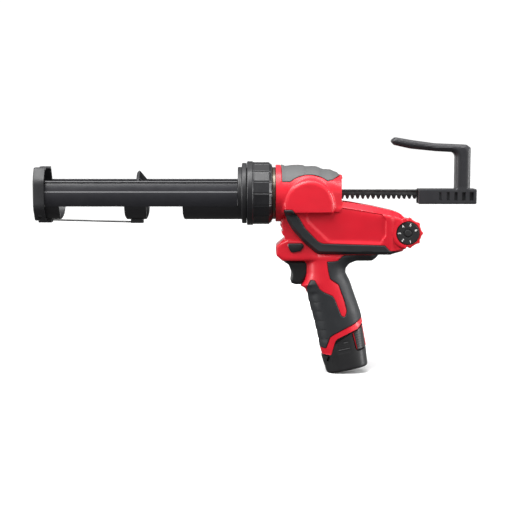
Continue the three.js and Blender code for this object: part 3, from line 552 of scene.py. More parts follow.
RED = (0.62, 0.010, 0.024)
moulded("black_plastic", (0.017, 0.017, 0.019), 0.42)
moulded("rail_black", (0.019, 0.019, 0.023), 0.34, grain=1.1, deep=0.001, scuff=0.03)
moulded("collar_black", (0.013, 0.013, 0.015), 0.36, worn=0.2)
moulded("handle_black", (0.018, 0.018, 0.021), 0.42, worn=0.15)
moulded("button_black", (0.009, 0.01, 0.011), 0.4)
moulded("trigger_black", (0.01, 0.011, 0.012), 0.36, worn=0.15)
moulded("dial_black", (0.012, 0.012, 0.013), 0.45)
moulded("battery_black", (0.012, 0.012, 0.013), 0.42)
moulded("red_plastic", RED, 0.32, grain=0.55, deep=0.004, worn=0.06, scuff=0.04)
moulded("dial_red", (0.6, 0.012, 0.02), 0.34, worn=0.08)
moulded("soft_black", (0.015, 0.0165, 0.019), 0.5, grain=0.42, deep=0.014, worn=0.05)
moulded("soft_grey", (0.092, 0.094, 0.095), 0.56, grain=0.42, deep=0.014, worn=0.05)
metal("steel", (0.58, 0.56, 0.53), 0.28)
metal("wire_steel", (0.2, 0.2, 0.2), 0.35)
# Brass-tinted steel for the neck ring, darkened as painted shade for the collar's shadow that falls over it.
metal("neck_steel_painted_shade", (0.16, 0.14, 0.11), 0.3)
metal("rack_steel", (0.045, 0.045, 0.048), 0.42, worn=(0.12, 0.12, 0.12))
metal("screw_steel", (0.07, 0.07, 0.075), 0.38, drawn=(1, 1, 1), worn=(0.3, 0.3, 0.3))
metal("brass", (0.7, 0.5, 0.24), 0.28, drawn=(1, 0.05, 1))
wound_copper()
circuit_board()
moulded("cell_wrap", (0.05, 0.2, 0.36), 0.3, grain=2, deep=0.02, coat=0.3)
moulded("dial_white", (0.85, 0.85, 0.83), 0.5, worn=0.05)

# ------------------------------------------------------------------ the housing's outlines, in X and Z
SHELL = 2.4
PARTING = 0.1
NECK_X = 21.4
HEAD_REAR = 90.6
BULGE, BULGE_RADIUS, BULGE_FOLD = (56.4, -11.2), 26.6, -18.6
DIAL = (160.2, -41.0)
DIAL_COVER, DIAL_BOSS, DIAL_POCKET, DIAL_BORE, DIAL_SLOT_X = 24.5, 16.9, 17.3, 12.6, 158.6

# The rear and front edges of the grip, which the housing shares with its rubber pads.
GRIP_REAR = [
    (128.9, -69, 3), (124.4, -72.3, 4), (107.5, -72.4, 6), (100.4, -75.3, 5), (96.7, -80, 4),
    (96.4, -84.6, 3), (101.4, -94.3, 20), (104.7, -104.1, 30),
]
GRIP_FRONT = [(67.4, -155.2, 20), (63, -136.7, 40), (57.5, -117.1, 20), (56, -110, 10)]
HOUSING = path([
    (NECK_X, 30.2, 0.6), (27.2, 30.2), (27.5, 29), (50, 28.9, 30), (66, 27, 30), (80, 23.8, 20),
    (88.6, 19.4), (89.2, 20.3), (91.6, 19.2, 0.8), (92.7, 16, 1.5), (90.4, 12.6, 3), (90.2, -8.2, 1),
    (101, -9.6), (122.5, -13.4), (146, -18.6, 20), (153.8, -21.4, 4), (158.4, -26.6, 2), (168, -28.2, 9),
    (173.6, -41, 12), (168, -54, 9), (158, -56.6, 2), (154.2, -62.4, 2), (151, -64, 1), (139, -64.7, 2),
    (132.4, -64.7, 1), *GRIP_REAR, (112.4, -125.8, 30), (114.9, -136.6, 1), (108.2, -143.4, 2),
    (100.5, -147, 4), (86.9, -153.9, 3), (84.6, -156.9, 2), (80.6, -171.8, 1.2), (71.2, -171.8, 1),
    (69.6, -166.1, 3), *GRIP_FRONT, (53.3, -102, 2), (48, -98.9, 1.2), (51.9, -92.2, 3), (53.4, -84.6, 8),
    (53.4, -71.1, 4), (28.6, -71.1, 2), (22, -65.2, 3), (22, -55.5, 3), (26.4, -51.6, 1.2),
    (30.6, -47.9, 1), (31.2, -45.7, 0.8), (28.8, -43.2, 0.8), (27.4, -40.6, 0.9), (29.4, -38.3, 0.6),
    (27.2, -35.4, 0.9), (25.9, -33.3, 0.9), (27.6, -31.2, 0.6), (27.2, -29.8), (NECK_X, -30.2, 0.6),
])
BODY = path([
    (34, 6), (28.9, -17.8), (33.2, -28, 6), (38.5, -37.8, 20), (48, -48.4, 40), (61.7, -60.4, 12),
    (66, -63.4, 10), (142, -64.3, 6), (157.4, -60, 4), (157.4, -18, 3), (150, -13, 6), (122.5, -7, 60),
    (90, -1), (80, 6),
])
BODY_TOP = np.array([
    (30, 4), (90, -7.6), (101, -9.3), (122.5, -13.2), (139.7, -16.6), (151.6, -19.6), (158, -24.5),
])
NOSE = path([
    (26.6, -25), (27.5, -43), (30.6, -47.9, 2), (26.4, -51.6, 1), (22, -55.5, 3), (22, -65.2, 3),
    (28.6, -71.1, 2), (64, -71.1), (64, -25),
])
NOSE_BLOCK = path([
    (33.6, -48.4, 1), (26.4, -51.6, 1), (22, -55.5, 3), (22, -65.2, 3), (28.6, -71.1, 2), (66, -71.1),
    (66, -58), (50, -49.4, 6),
])
PANEL = path([
    (54.6, -19.4), (56.6, -27.4, 3), (78.2, -48, 4), (131, -49.6, 3), (136.6, -44, 5), (136.4, -27, 5),
    (132.6, -21.4, 4), (91, -14.6), (88, -19.2),
])
HEAD_TOP = np.array([
    (21, 30.2), (27.2, 30.2), (27.5, 29), (50, 28.9), (66, 26.8), (80, 23.6), (88.6, 19.4), (89.2, 20.2),
    (93, 16),
])
PAD_TOP = np.array([
    (27, 30.3), (28.6, 30.4), (31.4, 29.1), (34.5, 29.4), (38, 30.1), (45, 30.4), (50.5, 30), (52.6, 28.8),
    (56, 28.7), (60.5, 29.1), (64, 28.9), (66.8, 28.1), (69.6, 26.4), (72.6, 25.6), (76, 25.7), (80.6, 25.2),
    (83.5, 23.7), (86.5, 22.6), (88.8, 20.4),
])
HEAD_PAD = path([
    (27.6, 13, 0.8), (36.4, 13, 2), *arc(BULGE[0], BULGE[1], 31.4, 126, 52, 16), (78, 14.6, 1),
    (80.6, 14.8, 1), (88.6, 19.6, 0.5), *[tuple(p) for p in PAD_TOP[::-1] - [0, 0.05]],
], 0.9)
BELT = path([
    (29.3, -15.8, 0.8), (38.4, -15.8, 0.8), (46.6, -25.8, 12), (51.9, -35.2, 20), (65.6, -49.6, 8),
    (70.9, -51.9, 8), (136, -53.8, 1.5), (141.4, -59.6, 1), (154.6, -61.2), (151.6, -63.7, 1),
    (139, -64.6, 1), (66, -63.6, 9), (61.7, -60.6, 10), (48, -48.6, 40), (38.5, -38, 20), (33, -28.2, 6),
])
GRIP_PAD = path([
    (54.2, -101.2, 1), (56.1, -96, 2), (58.7, -91.3, 0.6), (62.4, -91.3, 0.6), (63.8, -92.9, 1),
    (68.3, -101.1, 3), (73, -104.2, 3), (81.6, -107.7, 2), (84.5, -112.2, 20), (91, -128.8, 2),
    (94.8, -130.9, 1.6), (96.8, -124, 8), (93.7, -112.2, 20), (90.1, -102.5, 6), (87.8, -96.1, 2.5),
    (78.8, -90, 3), (76.6, -80.2, 12), (75.6, -71.4, 1), (86.6, -70.6, 1.2), (93.4, -64.4, 0.8),
    (132.2, -64.7, 1), *GRIP_REAR, (112.6, -126.6, 30), (113.9, -132.4, 1), (105.6, -137.9, 4),
    (95.1, -143.3, 6), (82.9, -149.8, 3), (79.4, -153, 2), (75.6, -165.1, 1.4), (69.2, -165.1, 1),
    *GRIP_FRONT,
])
LOCK = path([
    (33.9, -52.2, 1.4), (49.6, -52.2, 1.4), (51.2, -55, 1), (47.4, -60.4, 1.6), (38.2, -62, 1.6),
    (35.4, -58, 1),
])
GROOVES = {"lowest": 38.4, "pitch": 10.15, "count": 5}
WAY_HALF = {"rack": 6.0, "bracket": 10.6, "trigger": 8.1}
CASE_SCREWS = [(37.5, -41), (74, 16), (146.5, -59.2), (72.9, -99.8), (89.5, -88)]
SCREW_RECESS, SCREW_BOSS, SCREW_SEAT = 3.4, 4.2, 8.7


def closed_rim():
    """The housing's rim where its two halves meet, without the mouths for the neck and the battery."""
    x, z = HOUSING.T
    neck = x < NECK_X + 0.8
    below = (z < -136.2) & ((x - 69.6) * 0.98 + (z + 166.1) * 0.2 > 0.6)
    return HOUSING[~(neck | below)]


RIM = closed_rim()


def rim_gap(plan):
    """How far each point is from the nearest point of the rim."""
    def nearest(few):
        gap = few[:, None] - RIM
        return np.sqrt((gap * gap).sum(2).min(1))

    return chunked(nearest, plan)


# ------------------------------------------------------------------ the housing's half widths over X and Z
def plate(plan, ring, half, edge, fall=10.0):
    gap = depth(plan, ring)
    return half - rollover(gap, edge) + np.minimum(gap, 0) * fall


def head_half(plan, top):
    x, z = plan.T
    tall = np.interp(x, *top.T)
    wide = np.interp(x, [NECK_X, 50, 66, 80, 92], [30.2, 30.2, 29.2, 27.2, 25])
    upper = wide * np.sqrt(np.clip(1 - (z / tall) ** 2, 0, 1))
    ring = np.sqrt(np.clip(30.2**2 - z**2, 0, None))
    share = ease((x - 27.2) / 4.5)
    lower = (1 - share) * ring + share * wide - 2.2 * np.maximum(0, -17.5 - z) * share
    return np.where(z > 0, upper, lower)


def bulge_half(plan):
    gap = BULGE_RADIUS - away(plan, BULGE)
    shoulder = 4.6 * (rollover(gap, 4.9) / 4.9) + 3.5 * np.maximum(0, -gap)
    return 31.3 - shoulder - 1.7 * np.maximum(0, BULGE_FOLD - plan[:, 1])


def body_half(plan):
    x, z = plan.T
    below_top = np.interp(x, *BODY_TOP.T) - z
    flat = np.interp(below_top, [0, 5.4, 7.4, 12, 50], [16.5, 25.2, 26.3, 26.2, 23.2])
    gap = depth(plan, BODY)
    chamfer = 5.4 * np.clip(1 - gap / 3.4, 0, 1) * ease((-12 - z) / 6)
    end = rollover(158 - x, 7) * 0.5 + 1.3 * ease((x - 141.5) / 4.5)
    return flat - chamfer - end + np.minimum(gap, 0) * 10


def grip_half(plan):
    z = plan[:, 1]
    share = 1 - np.clip(rim_gap(plan) / 23, 0, 1)
    round_side = 20.3 * (1 - share**2.25) ** (1 / 2.25)
    return round_side - 0.55 * np.maximum(0, z + 67) - 30 * np.maximum(0, z + 52)


def finger_grooves(plan):
    """How deep the ribs on the front of the grip are cut, from 0 to 1: each swells downwards to a step."""
    x, z = upright(plan).T
    swell = ((z - GROOVES["lowest"]) / GROOVES["pitch"]) % 1
    among = ease((z - 34) / 2) * ease((92 - z) / 6)
    return swell**2.2 * among * ease((-13.5 - x) / 6)


def groove_lines():
    rows = []
    for k in range(GROOVES["count"]):
        z = GROOVES["lowest"] + GROOVES["pitch"] * k
        ends = leant([(-27, 0, z), (-14, 0, z)])[:, [0, 2]]
        rows.append((evened(list(ends), 1.1, closed=False), (-0.5, -0.16, 0.06, 0.3)))
    return rows


def tucked(ring):
    """The housing's outline, drawn in where it runs under a pad that wraps round to the parting plane."""
    under = sum(ease((depth(ring, pad) + 0.7) / 0.5) for pad in (HEAD_PAD, GRIP_PAD, BELT))
    return beside(ring, 0.9 * np.clip(under, 0, 1)[:, None])


def ribbed(ring):
    """An outline with the grip's ribs let into its front edge."""
    inward = np.array([math.cos(TILT), math.sin(TILT)])
    return ring + 0.8 * finger_grooves(ring)[:, None] * inward


def surface(plan, side, top=HEAD_TOP):
    """The half width of the housing before its pads and panels are let in."""
    behind = 12 * np.maximum(0, plan[:, 0] - HEAD_REAR)
    half = blended(head_half(plan, top) - behind, bulge_half(plan) - behind, 2.2)
    half = blended(half, body_half(plan), 1.2)
    nose = plate(plan, NOSE, 14.6, 2.5)
    nose = blended(nose, plate(plan, NOSE_BLOCK, 17.4, 2.6, 2.5), 1.0)
    half = blended(half, nose, 0.8)
    half = blended(half, grip_half(plan), 3.0)
    if side > 0:
        return blended(half, dial_boss(plan, 19, 14, 4), 1.5)
    return blended(half, dial_boss(plan, DIAL_COVER, DIAL_BOSS, 1.6), 1.2)


def dial_boss(plan, half, radius, edge):
    """A round boss over the dial's axis, with steep sides."""
    gap = radius - away(plan, DIAL)
    return half - rollover(gap, edge) - 8 * np.maximum(0, -gap)


def let_in(plan, ring):
    """How deep a pad's recess is cut, all round its outline."""
    deep, wall = 1.2, 0.25
    return deep * ease((depth(plan, ring) + wall) / wall)


def panel_depth(plan):
    """The panel's depth: its lower and front edges are broad chamfers, and the others are short ones."""
    gap = depth(plan, PANEL)
    broad = np.clip(1 + gap / 3.4, 0, 1)
    short = ease((gap + 0.9) / 0.9)
    share = ease((plan[:, 0] - 132) / 3) + ease((plan[:, 1] + 24) / 3)
    return 1.3 * (broad + (short - broad) * np.clip(share, 0, 1))


def housing_front(side):
    def half(plan):
        height = surface(plan, side) - panel_depth(plan)
        for pad in (HEAD_PAD, BELT, GRIP_PAD):
            height = height - let_in(plan, pad)
        if side < 0:
            pocket = (away(plan, DIAL) < DIAL_POCKET) & (plan[:, 0] > DIAL_SLOT_X)
            height = np.where(pocket, np.minimum(height, 11.1), height)
        else:
            for screw in CASE_SCREWS:
                recess = away(plan, screw) < SCREW_RECESS
                height = np.where(recess, np.minimum(height, SCREW_SEAT), height)
        return side * np.maximum(height, PARTING + 0.3)

    return half


def ways(plan):
    """The half widths of the ways that pass between the two halves."""
    x, z = plan.T
    rack = (z > -7.4) & (z < 4.9)
    bracket = (x > 90.8) & (x < 126) & (z > -12)
    trigger = (x > 30) & (x < 63) & (z > -97.4) & (z < -71.3)
    mouth = np.where(x < 33.4, np.sqrt(np.clip(25.2**2 - z**2, 0, None)), 0)
    widths = WAY_HALF["rack"] * rack, WAY_HALF["bracket"] * bracket, WAY_HALF["trigger"] * trigger, mouth
    return np.maximum.reduce(widths)


def housing_back(side):
    front = housing_front(side)

    def half(plan):
        outer = np.abs(front(plan))
        room = np.where(rim_gap(plan) < SHELL, PARTING, outer - SHELL)
        for screw in CASE_SCREWS:
            room = np.where(away(plan, screw) < SCREW_BOSS, PARTING, room)
        if side < 0:
            room = np.where(away(plan, DIAL) < DIAL_POCKET + 0.8, 8.7, room)
        room = np.maximum(np.maximum(room, PARTING), ways(plan))
        return side * np.minimum(room, outer - 0.25)

    return half


SHELL_RING = tucked(ribbed(anticlockwise(HOUSING)))


def circle(centre, radius, step=0.9):
    count = max(16, math.ceil(math.tau * radius / step))
    return np.array(arc(centre[0], centre[1], radius, 0, 360 - 360 / count, count))


def line(*corners):
    return evened(corners, 1.1, closed=False)


def box(left, bottom, right, top):
    return path([(left, bottom), (right, bottom), (right, top), (left, top)])


def housing_shell(side, name):
    features = [HEAD_PAD, BELT, GRIP_PAD, (PANEL, (-3.4, -0.9, -0.4, 0, 0.3)), NOSE_BLOCK, BODY]
    features += [circle(BULGE, BULGE_RADIUS), (circle(BULGE, 24), (-1.2, 0, 1.2))]
    features += [line((36, BULGE_FOLD), (88, BULGE_FOLD))]
    features += [(BODY, (3.4,)), line((HEAD_REAR, -18), (HEAD_REAR, -9))]
    features += [(line(*(BODY_TOP[1:] - (0, fall))), (-0.3, 0.3)) for fall in (5.4, 7.4)]
    features += [line((94, -12), (126, -12)), line((28, -7.4), (89, -7.4)), line((28, 4.9), (90, 4.9))]
    cuts = []
    if side < 0:
        slot = line((DIAL_SLOT_X, -66), (DIAL_SLOT_X, -18))
        features += [circle(DIAL, DIAL_BOSS), (slot, (-0.1, 0.1))]
        pocket = drum(-23.4, -11.2, 17.1)
        bore = [(-30, 0), (-30, 13.8), (-24.5, DIAL_BORE), (-20, DIAL_BORE), (-20, 0)]
        cuts += [revolve(profile, "y", DIAL, 96) for profile in (pocket, bore)]
    else:
        features += [(circle(screw, SCREW_RECESS), (-0.1, 0.1)) for screw in CASE_SCREWS]
    hole = beside(anticlockwise(LOCK), -0.18)
    solid = relief(SHELL_RING, housing_front(side), housing_back(side), features=features, holes=[hole])
    node = f"housing_{name}"
    piece(f"housing_shell_{name}", solid, "housing", "red_plastic", [node], cut=cuts, angle=40)


def pad(name, recess, side, node, slot, proud, top=HEAD_TOP, features=()):
    """A soft pad in its recess, with a fine gap all round and the ribs where it wraps the grip's front."""
    ring = anticlockwise(recess)
    at_rim = ease((rim_gap(ring) - 0.6) / 0.6)
    ring = ribbed(beside(ring, 0.3 * at_rim[:, None]))

    def front(plan):
        height = surface(plan, side, top) + proud - rollover(depth(plan, ring), 0.7) * 0.9
        return side * np.maximum(height - 1.1 * finger_grooves(plan), PARTING + 0.35)

    def back(plan):
        height = surface(plan, side, top) - 0.9
        return side * np.minimum(np.maximum(height, PARTING), np.abs(front(plan)) - 0.25)

    solid = relief(ring, front, back, spacing=1.5, features=features)
    piece(name, solid, "housing", slot, [node], angle=40)


def build_housing():
    for side, name in SIDES:
        housing_shell(side, name)
        pad(f"head_grip_{name}", HEAD_PAD, side, f"head_pad_{name}", "soft_grey", 0.25, PAD_TOP)
        facet = [(BODY, (3.2, 3.5))]
        pad(f"belt_{name}", BELT, side, f"belt_pad_{name}", "soft_black", 0.3, features=facet)
        ribs = groove_lines()
        pad(f"grip_rubber_{name}", GRIP_PAD, side, f"grip_pad_{name}", "soft_black", 0.35, features=ribs)
    for number, place in enumerate(CASE_SCREWS, 1):
        case_screw(number, place)


def case_screw(number, place):
    """A domed head with a six-lobed socket, on a plain shank that reaches into the other half."""
    head_radius, lobe_radius, top, socket_floor, underside = 3, 1.35, 12, 10.2, 9.0

    def head(plan):
        star = away(plan, place)
        angle = np.arctan2(plan[:, 1] - place[1], plan[:, 0] - place[0])
        socket = star < lobe_radius + 0.3 * np.cos(6 * angle)
        dome = 0.35 * (star / head_radius) ** 2 + rollover(head_radius - star, 0.5)
        return np.where(socket, socket_floor, top - dome)

    rows = [(circle(place, lobe_radius, 0.3), (-0.35, -0.2, 0, 0.2, 0.35))]
    outline = circle(place, head_radius, 0.5)
    solid = relief(outline, head, flat(underside), spacing=0.6, rings=(0.1, 0.3), features=rows)
    shank = revolve([(-8, 0), (-8, 1.4), (9.3, 1.6), (9.3, 0)], "y", place, 24)
    piece(f"case_screw_{number}", solid, "housing", "screw_steel", [f"housing_screw_{number}"], join=[shank])


# ------------------------------------------------------------------ carriage, collar and neck
NOSE_X = -233.0
CAP_DEPTH, CAP_PLATE, CAP_WALL, SLOT_HALF = 12.3, 4.0, 2.9, 13.5
CAP_SIDE = [(22, 28, 2.5), (30.4, 14, 14), (30.4, -14, 14), (20, -28, 4)]
BORE, SKIN = 25.3, 27.8
RAIL_LOW, RAIL_HIGH = math.radians(-27), math.radians(32)


def cap_outline():
    """The cap's rounded outline with the nozzle's slot, open at the top."""
    right = [(SLOT_HALF, 28, 1.2), *CAP_SIDE]
    left = [(-y, z, radius) for y, z, radius in right[::-1]]
    slot = arc(0, 0, SLOT_HALF, 180, 360, 24)
    return path([*right, *left, *slot], 0.9)


def trough(front, back):
    """The arc of the cradle below the rails, between two ends given over Y and Z."""
    below = math.degrees(RAIL_LOW) - 0.6
    start, end = 180 - below, 360 + below
    ring = path([*arc(0, 0, SKIN, start, end, 60), *arc(0, 0, BORE, end, start, 60)], 1.2)
    return relief(ring, front, back, "yz", rings=(0.12, 0.5))


def flat(value):
    return lambda plan: np.full(len(plan), float(value))


def corner(plan):
    """How far a trough's end is drawn in towards its rounded bottom corner."""
    low = np.clip((-19.5 - plan[:, 1]) / 9.6, 0, 1)
    return 3.4 * (1 - np.sqrt(1 - low**2))


def front_end():
    ring = cap_outline()
    outer = path([*CAP_SIDE, *[(-y, z, radius) for y, z, radius in CAP_SIDE[::-1]]])

    def front(plan):
        rim = distance(plan, outer)
        lip = np.hypot(*plan.T)
        bead = 0.8 * ease((16.6 - lip) / 0.8) * (plan[:, 1] < 4)
        return NOSE_X + 0.8 + rollover(rim, 1.4) - bead

    def back(plan):
        wall = ease((CAP_WALL - distance(plan, outer)) / 0.2)
        return NOSE_X + CAP_PLATE + (CAP_DEPTH - CAP_PLATE) * wall

    inset = beside(anticlockwise(outer), CAP_WALL)
    body = relief(ring, front, back, "yz", spacing=2, features=[(inset, (-0.25, -0.1, 0.1, 0.25))])
    saddle = trough(flat(NOSE_X + CAP_DEPTH - 1), lambda plan: -205.8 - corner(plan))
    lug = block((NOSE_X + 2.4, -6, -31), (NOSE_X + CAP_DEPTH + 4, 6, -26.9))
    fork = block((NOSE_X + 4.4, -1.8, -33), (NOSE_X + 32, 1.8, -25))
    notches = [block((NOSE_X + 5, low, -25.6), (NOSE_X + 8.6, low + 12, -21.8)) for low in (-31.5, 19.5)]
    cuts = [fork, *notches]
    piece("front_end", body, "carriage", "black_plastic", ["front_cap"], join=[saddle, lug], cut=cuts)


def rail(side, name):
    """One side rail: an arc with a rolled top lip and a step along its outside."""
    def at(angle, radius):
        return (side * radius * math.cos(angle), radius * math.sin(angle))

    step = math.radians(4)
    outer = [at(t, SKIN + 0.35) for t in np.linspace(RAIL_LOW, step, 12)]
    upper = [at(t, SKIN - 0.9) for t in np.linspace(step + 0.055, RAIL_HIGH - 0.12, 12)]
    roll = [(0.09, SKIN + 0.4), (0.045, SKIN + 0.4), (0, SKIN - 0.9), (0, BORE)]
    lip = [(*at(RAIL_HIGH - below, radius), 0.3) for below, radius in roll]
    inner = [at(t, BORE) for t in np.linspace(RAIL_HIGH - 0.06, RAIL_LOW, 18)]
    ring = path([*outer, *upper, *lip, *inner], 0.9)
    node = f"carriage_rail_{name}"
    low, high = cad(node)
    solid = relief(ring, flat(low[0]), flat(high[0]), "yz", rings=(0.12, 0.5))
    piece(f"rail_{name}", solid, "carriage", "rail_black", [node])


def mid_saddle():
    low, high = cad("mid_saddle")
    body = trough(lambda plan: low[0] + 0.8 + corner(plan), lambda plan: high[0] - corner(plan))
    clip = block((-132.5, -5, -31.6), (-119.5, 5, -26.9))
    way = block((-145, -1.3, -33), (-105, 1.3, -28.8))
    piece("saddle", body, "carriage", "black_plastic", ["mid_saddle"], join=[clip], cut=[way])


def socket():
    low, high = cad("rear_socket")
    body = trough(lambda plan: low[0] + corner(plan), flat(-18.4))
    ring = revolve(path([
        (-18.7, BORE, 0.3), (-18.7, SKIN, 0.6), (-14.4, SKIN, 0.8), (-14.4, 32.1, 1), (-9.4, 32.1, 0.8),
        (-9.4, 26.9, 0.3), (-2.1, 26.9, 0.3), (-2.1, 29.4, 0.4), (2.6, 29.4, 0.5), (2.6, 24.2, 0.4),
        (-9.4, 24.2, 0.4), (-9.4, BORE, 0.2),
    ], 1.2), steps=128)
    piece("socket", body, "carriage", "black_plastic", ["rear_socket"], join=[ring])


def collar():
    """The nut is a polygon of flats behind its lip, with a fine groove along each corner."""
    count = 16
    half = math.pi / count

    def flats(angle, along, radius):
        turn = (angle + math.radians(2.2)) % (2 * half) - half
        flat = radius * (math.cos(half) / np.cos(turn) - 1)
        groove = 0.7 * np.exp(-(((half - np.abs(turn)) / 0.015) ** 2))
        return np.where((radius > 30.8) & (along > -2), flat - groove, 0)

    profile = path([
        (-9.1, 27.4, 0.4), (-9.1, 33.9, 1.3), (-3.2, 33.9, 0.8), (-2.6, 33.1, 0.3), (14.2, 33.1, 0.8),
        (17.3, 30.4, 0.4), (17.3, 29.9, 0.2), (-2.4, 29.9, 0.3), (-2.4, 27.4, 0.3),
    ], 1.0)
    solid = revolve(profile, steps=count * 30, wobble=flats)
    piece("collar", solid, "collar", "collar_black", ["collar_nut"], angle=50)


def neck():
    """The housing's threaded ring, which the collar nut runs on."""
    pitch, high = 2.4, 0.35

    def thread(angle, along, radius):
        helix = high * np.cos(along * math.tau / pitch + angle)
        return np.where((radius > 29) & (along < 17), helix, 0)

    profile = path([
        (3.2, 25.1, 0.3), (3.2, 29, 0.5), (17.6, 29, 0.2), (18.4, 27.6, 0.3), (21.1, 27.6, 0.3),
        (21.1, 25.1, 0.3),
    ], 0.4)
    ring = revolve(profile, steps=120, wobble=thread)
    # The ring's finish is brass-tinted steel, darkened with painted shade.
    piece("neck", ring, "housing", "steel", ["neck_ring"], finish="neck_steel_painted_shade")


def wire():
    """The seal piercer, from the eye on its pin to the tip in its clip."""
    eye, tip = np.array([-225.0, -28.2]), np.array([-131.0, -30.6])
    run = [eye + (tip - eye) * share for share in np.linspace(0.012, 1, 40)]
    bar = tube([(x, 0, z) for x, z in run], 0.95)
    section = path([(-0.9, 1.4, 0.3), (0.9, 1.4, 0.3), (0.9, 2.5, 0.4), (-0.9, 2.5, 0.4)], 0.3)
    loop = revolve(section, "y", eye, 32)
    piece("wire", bar, "piercer", "steel", ["piercer_wire"], join=[loop], finish="wire_steel")


# ------------------------------------------------------------------ plunger
def plunger():
    low, high = cad("plunger_disc")
    front, back, radius = low[0], high[0], 24.0
    profile = path([
        (front, 0), (front, radius - 1.6, 0), (front + 1.6, radius, 0.8), (front + 2.8, radius, 0.5),
        (front + 2.8, 9.5, 2), (front + 4.4, 7.5, 1), (back, 7.5, 0.5), (back, 0),
    ], 1.2)
    rib_count, rib_half = 8, 0.8
    rib = path([
        (front + 2, 3), (front + 2, radius - 0.8), (front + 3.4, radius - 1, 0.5), (front + 13, 11.4, 0.8),
        (front + 13, 10.2), (back - 0.3, 6.5), (back - 0.3, 3),
    ], 1.5)
    points, faces = relief(rib, flat(-rib_half), flat(rib_half), rings=(0.15,))
    x, y, z = points.T
    ribs = []
    for k in range(rib_count):
        turn = math.tau * k / rib_count + math.pi / 2
        cos, sin = math.cos(turn), math.sin(turn)
        ribs.append((np.stack([x, y * cos + z * sin, z * cos - y * sin], 1), faces))
    hole = revolve(drum(front - 2, front + 2.6, 4.9), steps=32)
    body = revolve(profile)
    piece("disc", body, "rack", "black_plastic", ["plunger_disc"], join=ribs, cut=[hole])


def handle():
    """The hook and its bracket in one moulding, with the rack let into it from below."""
    tail, half, _ = cad("pull_handle")[1]
    front, top, bottom = 172.4, 4.8, -11.2
    back = tail - 6.8
    ring = path([
        (143, 55.6, 2), (148, 59.3, 3), (164, 56.5, 20), (190, 52.9, 40), (back - 4.6, 51.5, 1.6),
        (back, 48.2, 1.6), (back, top), (tail, top, 1.4), (tail, bottom, 1.4), (front, bottom, 1.2),
        (front, top, 1.2), (212, top), (212, 43.4, 5), (190, 44.6, 30), (164, 47.2, 20), (147, 51, 3),
    ])
    sill, lintel = -7.6, 1.4
    pockets = [(tail - 7.6 - 8.1 * k, 4.1 - 0.4 * k, 3.8 - 0.6 * k) for k in range(5)]

    def halfway(plan):
        x, z = plan.T
        gap = depth(plan, ring)
        hook = ease((z - top + 1) / 2)
        height = half - rollover(gap, 1.2) - hook * (0.3 + 2.2 * np.clip(1 - gap / 3.4, 0, 1))
        for start, width, deep in pockets:
            edge = np.minimum.reduce([x - start, start + width - x, z - sill, lintel - z])
            height = height - deep * ease(edge / 0.4)
        return height

    rows = [(box(start, sill, start + width, lintel), (-0.1, 0.15, 0.4)) for start, width, _ in pockets]
    rows.append((ring, (3.2, 3.6)))
    rims = (0.1, 0.3, 0.7, 1.3, 2.3)
    solid = mirrored(ring, halfway, rings=rims, features=rows)
    end, side, over = cad("rack_bar")[1] + 0.3
    seat = block((front - 2, -side, bottom - 2), (end, side, over))
    pins = [revolve(drum(-8, 12, 1.9), "y", (x, -0.4), 24) for x in (181, 193)]
    piece("handle", solid, "rack", "handle_black", ["pull_handle"], cut=[seat, *pins], angle=30)


def ball_races():
    """The pinion shaft's two ball races, inside the housing's walls."""
    outermost = 23.4
    for side, name in SIDES:
        low, high = cad(f"bearing_{name}")
        middle = (low + high)[[0, 2]] / 2
        radius = (high[0] - low[0]) / 2
        inner, outer = sorted((abs(low[1]), abs(high[1])))
        outer = min(outer, outermost)
        bore = cad("pinion_shaft")[1][2] - middle[1]
        mid = (bore + radius) / 2
        section = [
            (inner, bore, 0.3), (inner, mid - 1.3), (inner + 0.6, mid), (inner, mid + 1.3),
            (inner, radius, 0.5), (outer, radius, 0.5), (outer, mid + 1.3), (outer - 0.6, mid),
            (outer, mid - 1.3), (outer, bore, 0.3),
        ]
        profile = path([(side * along, *rest) for along, *rest in section], 0.8)
        race = revolve(profile, "y", middle, 64)
        piece(f"ball_race_{name}", race, "housing", "steel", [f"bearing_{name}"])


# ------------------------------------------------------------------ controls
def trigger():
    """The finger blade, bored for its return spring round a stem."""
    ring = path([
        (28.4, -71.7, 0.8), (35.4, -76.2, 5), (38.6, -84.6, 12), (37.2, -92.2, 4), (38.4, -96, 2.5),
        (43, -97.4, 3), (48.4, -97.4, 2), (52, -93.4, 4), (56.8, -85, 1), (56.8, -71.7, 1),
    ], 0.8)
    half = lambda plan: 7.6 - rollover(depth(plan, ring), 3.2)
    rims = (0.1, 0.35, 0.8, 1.5, 2.4, 3.3)
    solid = mirrored(ring, half, rings=rims, spacing=1.4)
    low, high = cad("trigger_spring")
    middle = (0, (low[2] + high[2]) / 2)
    outer = high[1] + 0.5
    well = revolve(drum(50.4, 60, outer, 2.2), "x", middle, 48)
    stem = revolve(drum(50, 59.4, 2.1), "x", middle, 32)
    boss = revolve(drum(54, 58.8, 6.4, 2.6), "x", middle, 48)
    parts = {"join": [boss, stem], "cut": [well]}
    piece("trigger_blade", solid, "trigger", "trigger_black", ["trigger"], **parts)


def lock_button():
    low, high = cad("lock_button")
    edge = lambda plan: rollover(depth(plan, LOCK), 0.9) - 0.5 * ease(depth(plan, LOCK) / 4)
    solid = relief(LOCK, lambda p: low[1] + 0.5 + edge(p), lambda p: high[1] - edge(p), spacing=1.2)
    piece("lock", solid, "lock_button", "button_black", ["lock_button"])


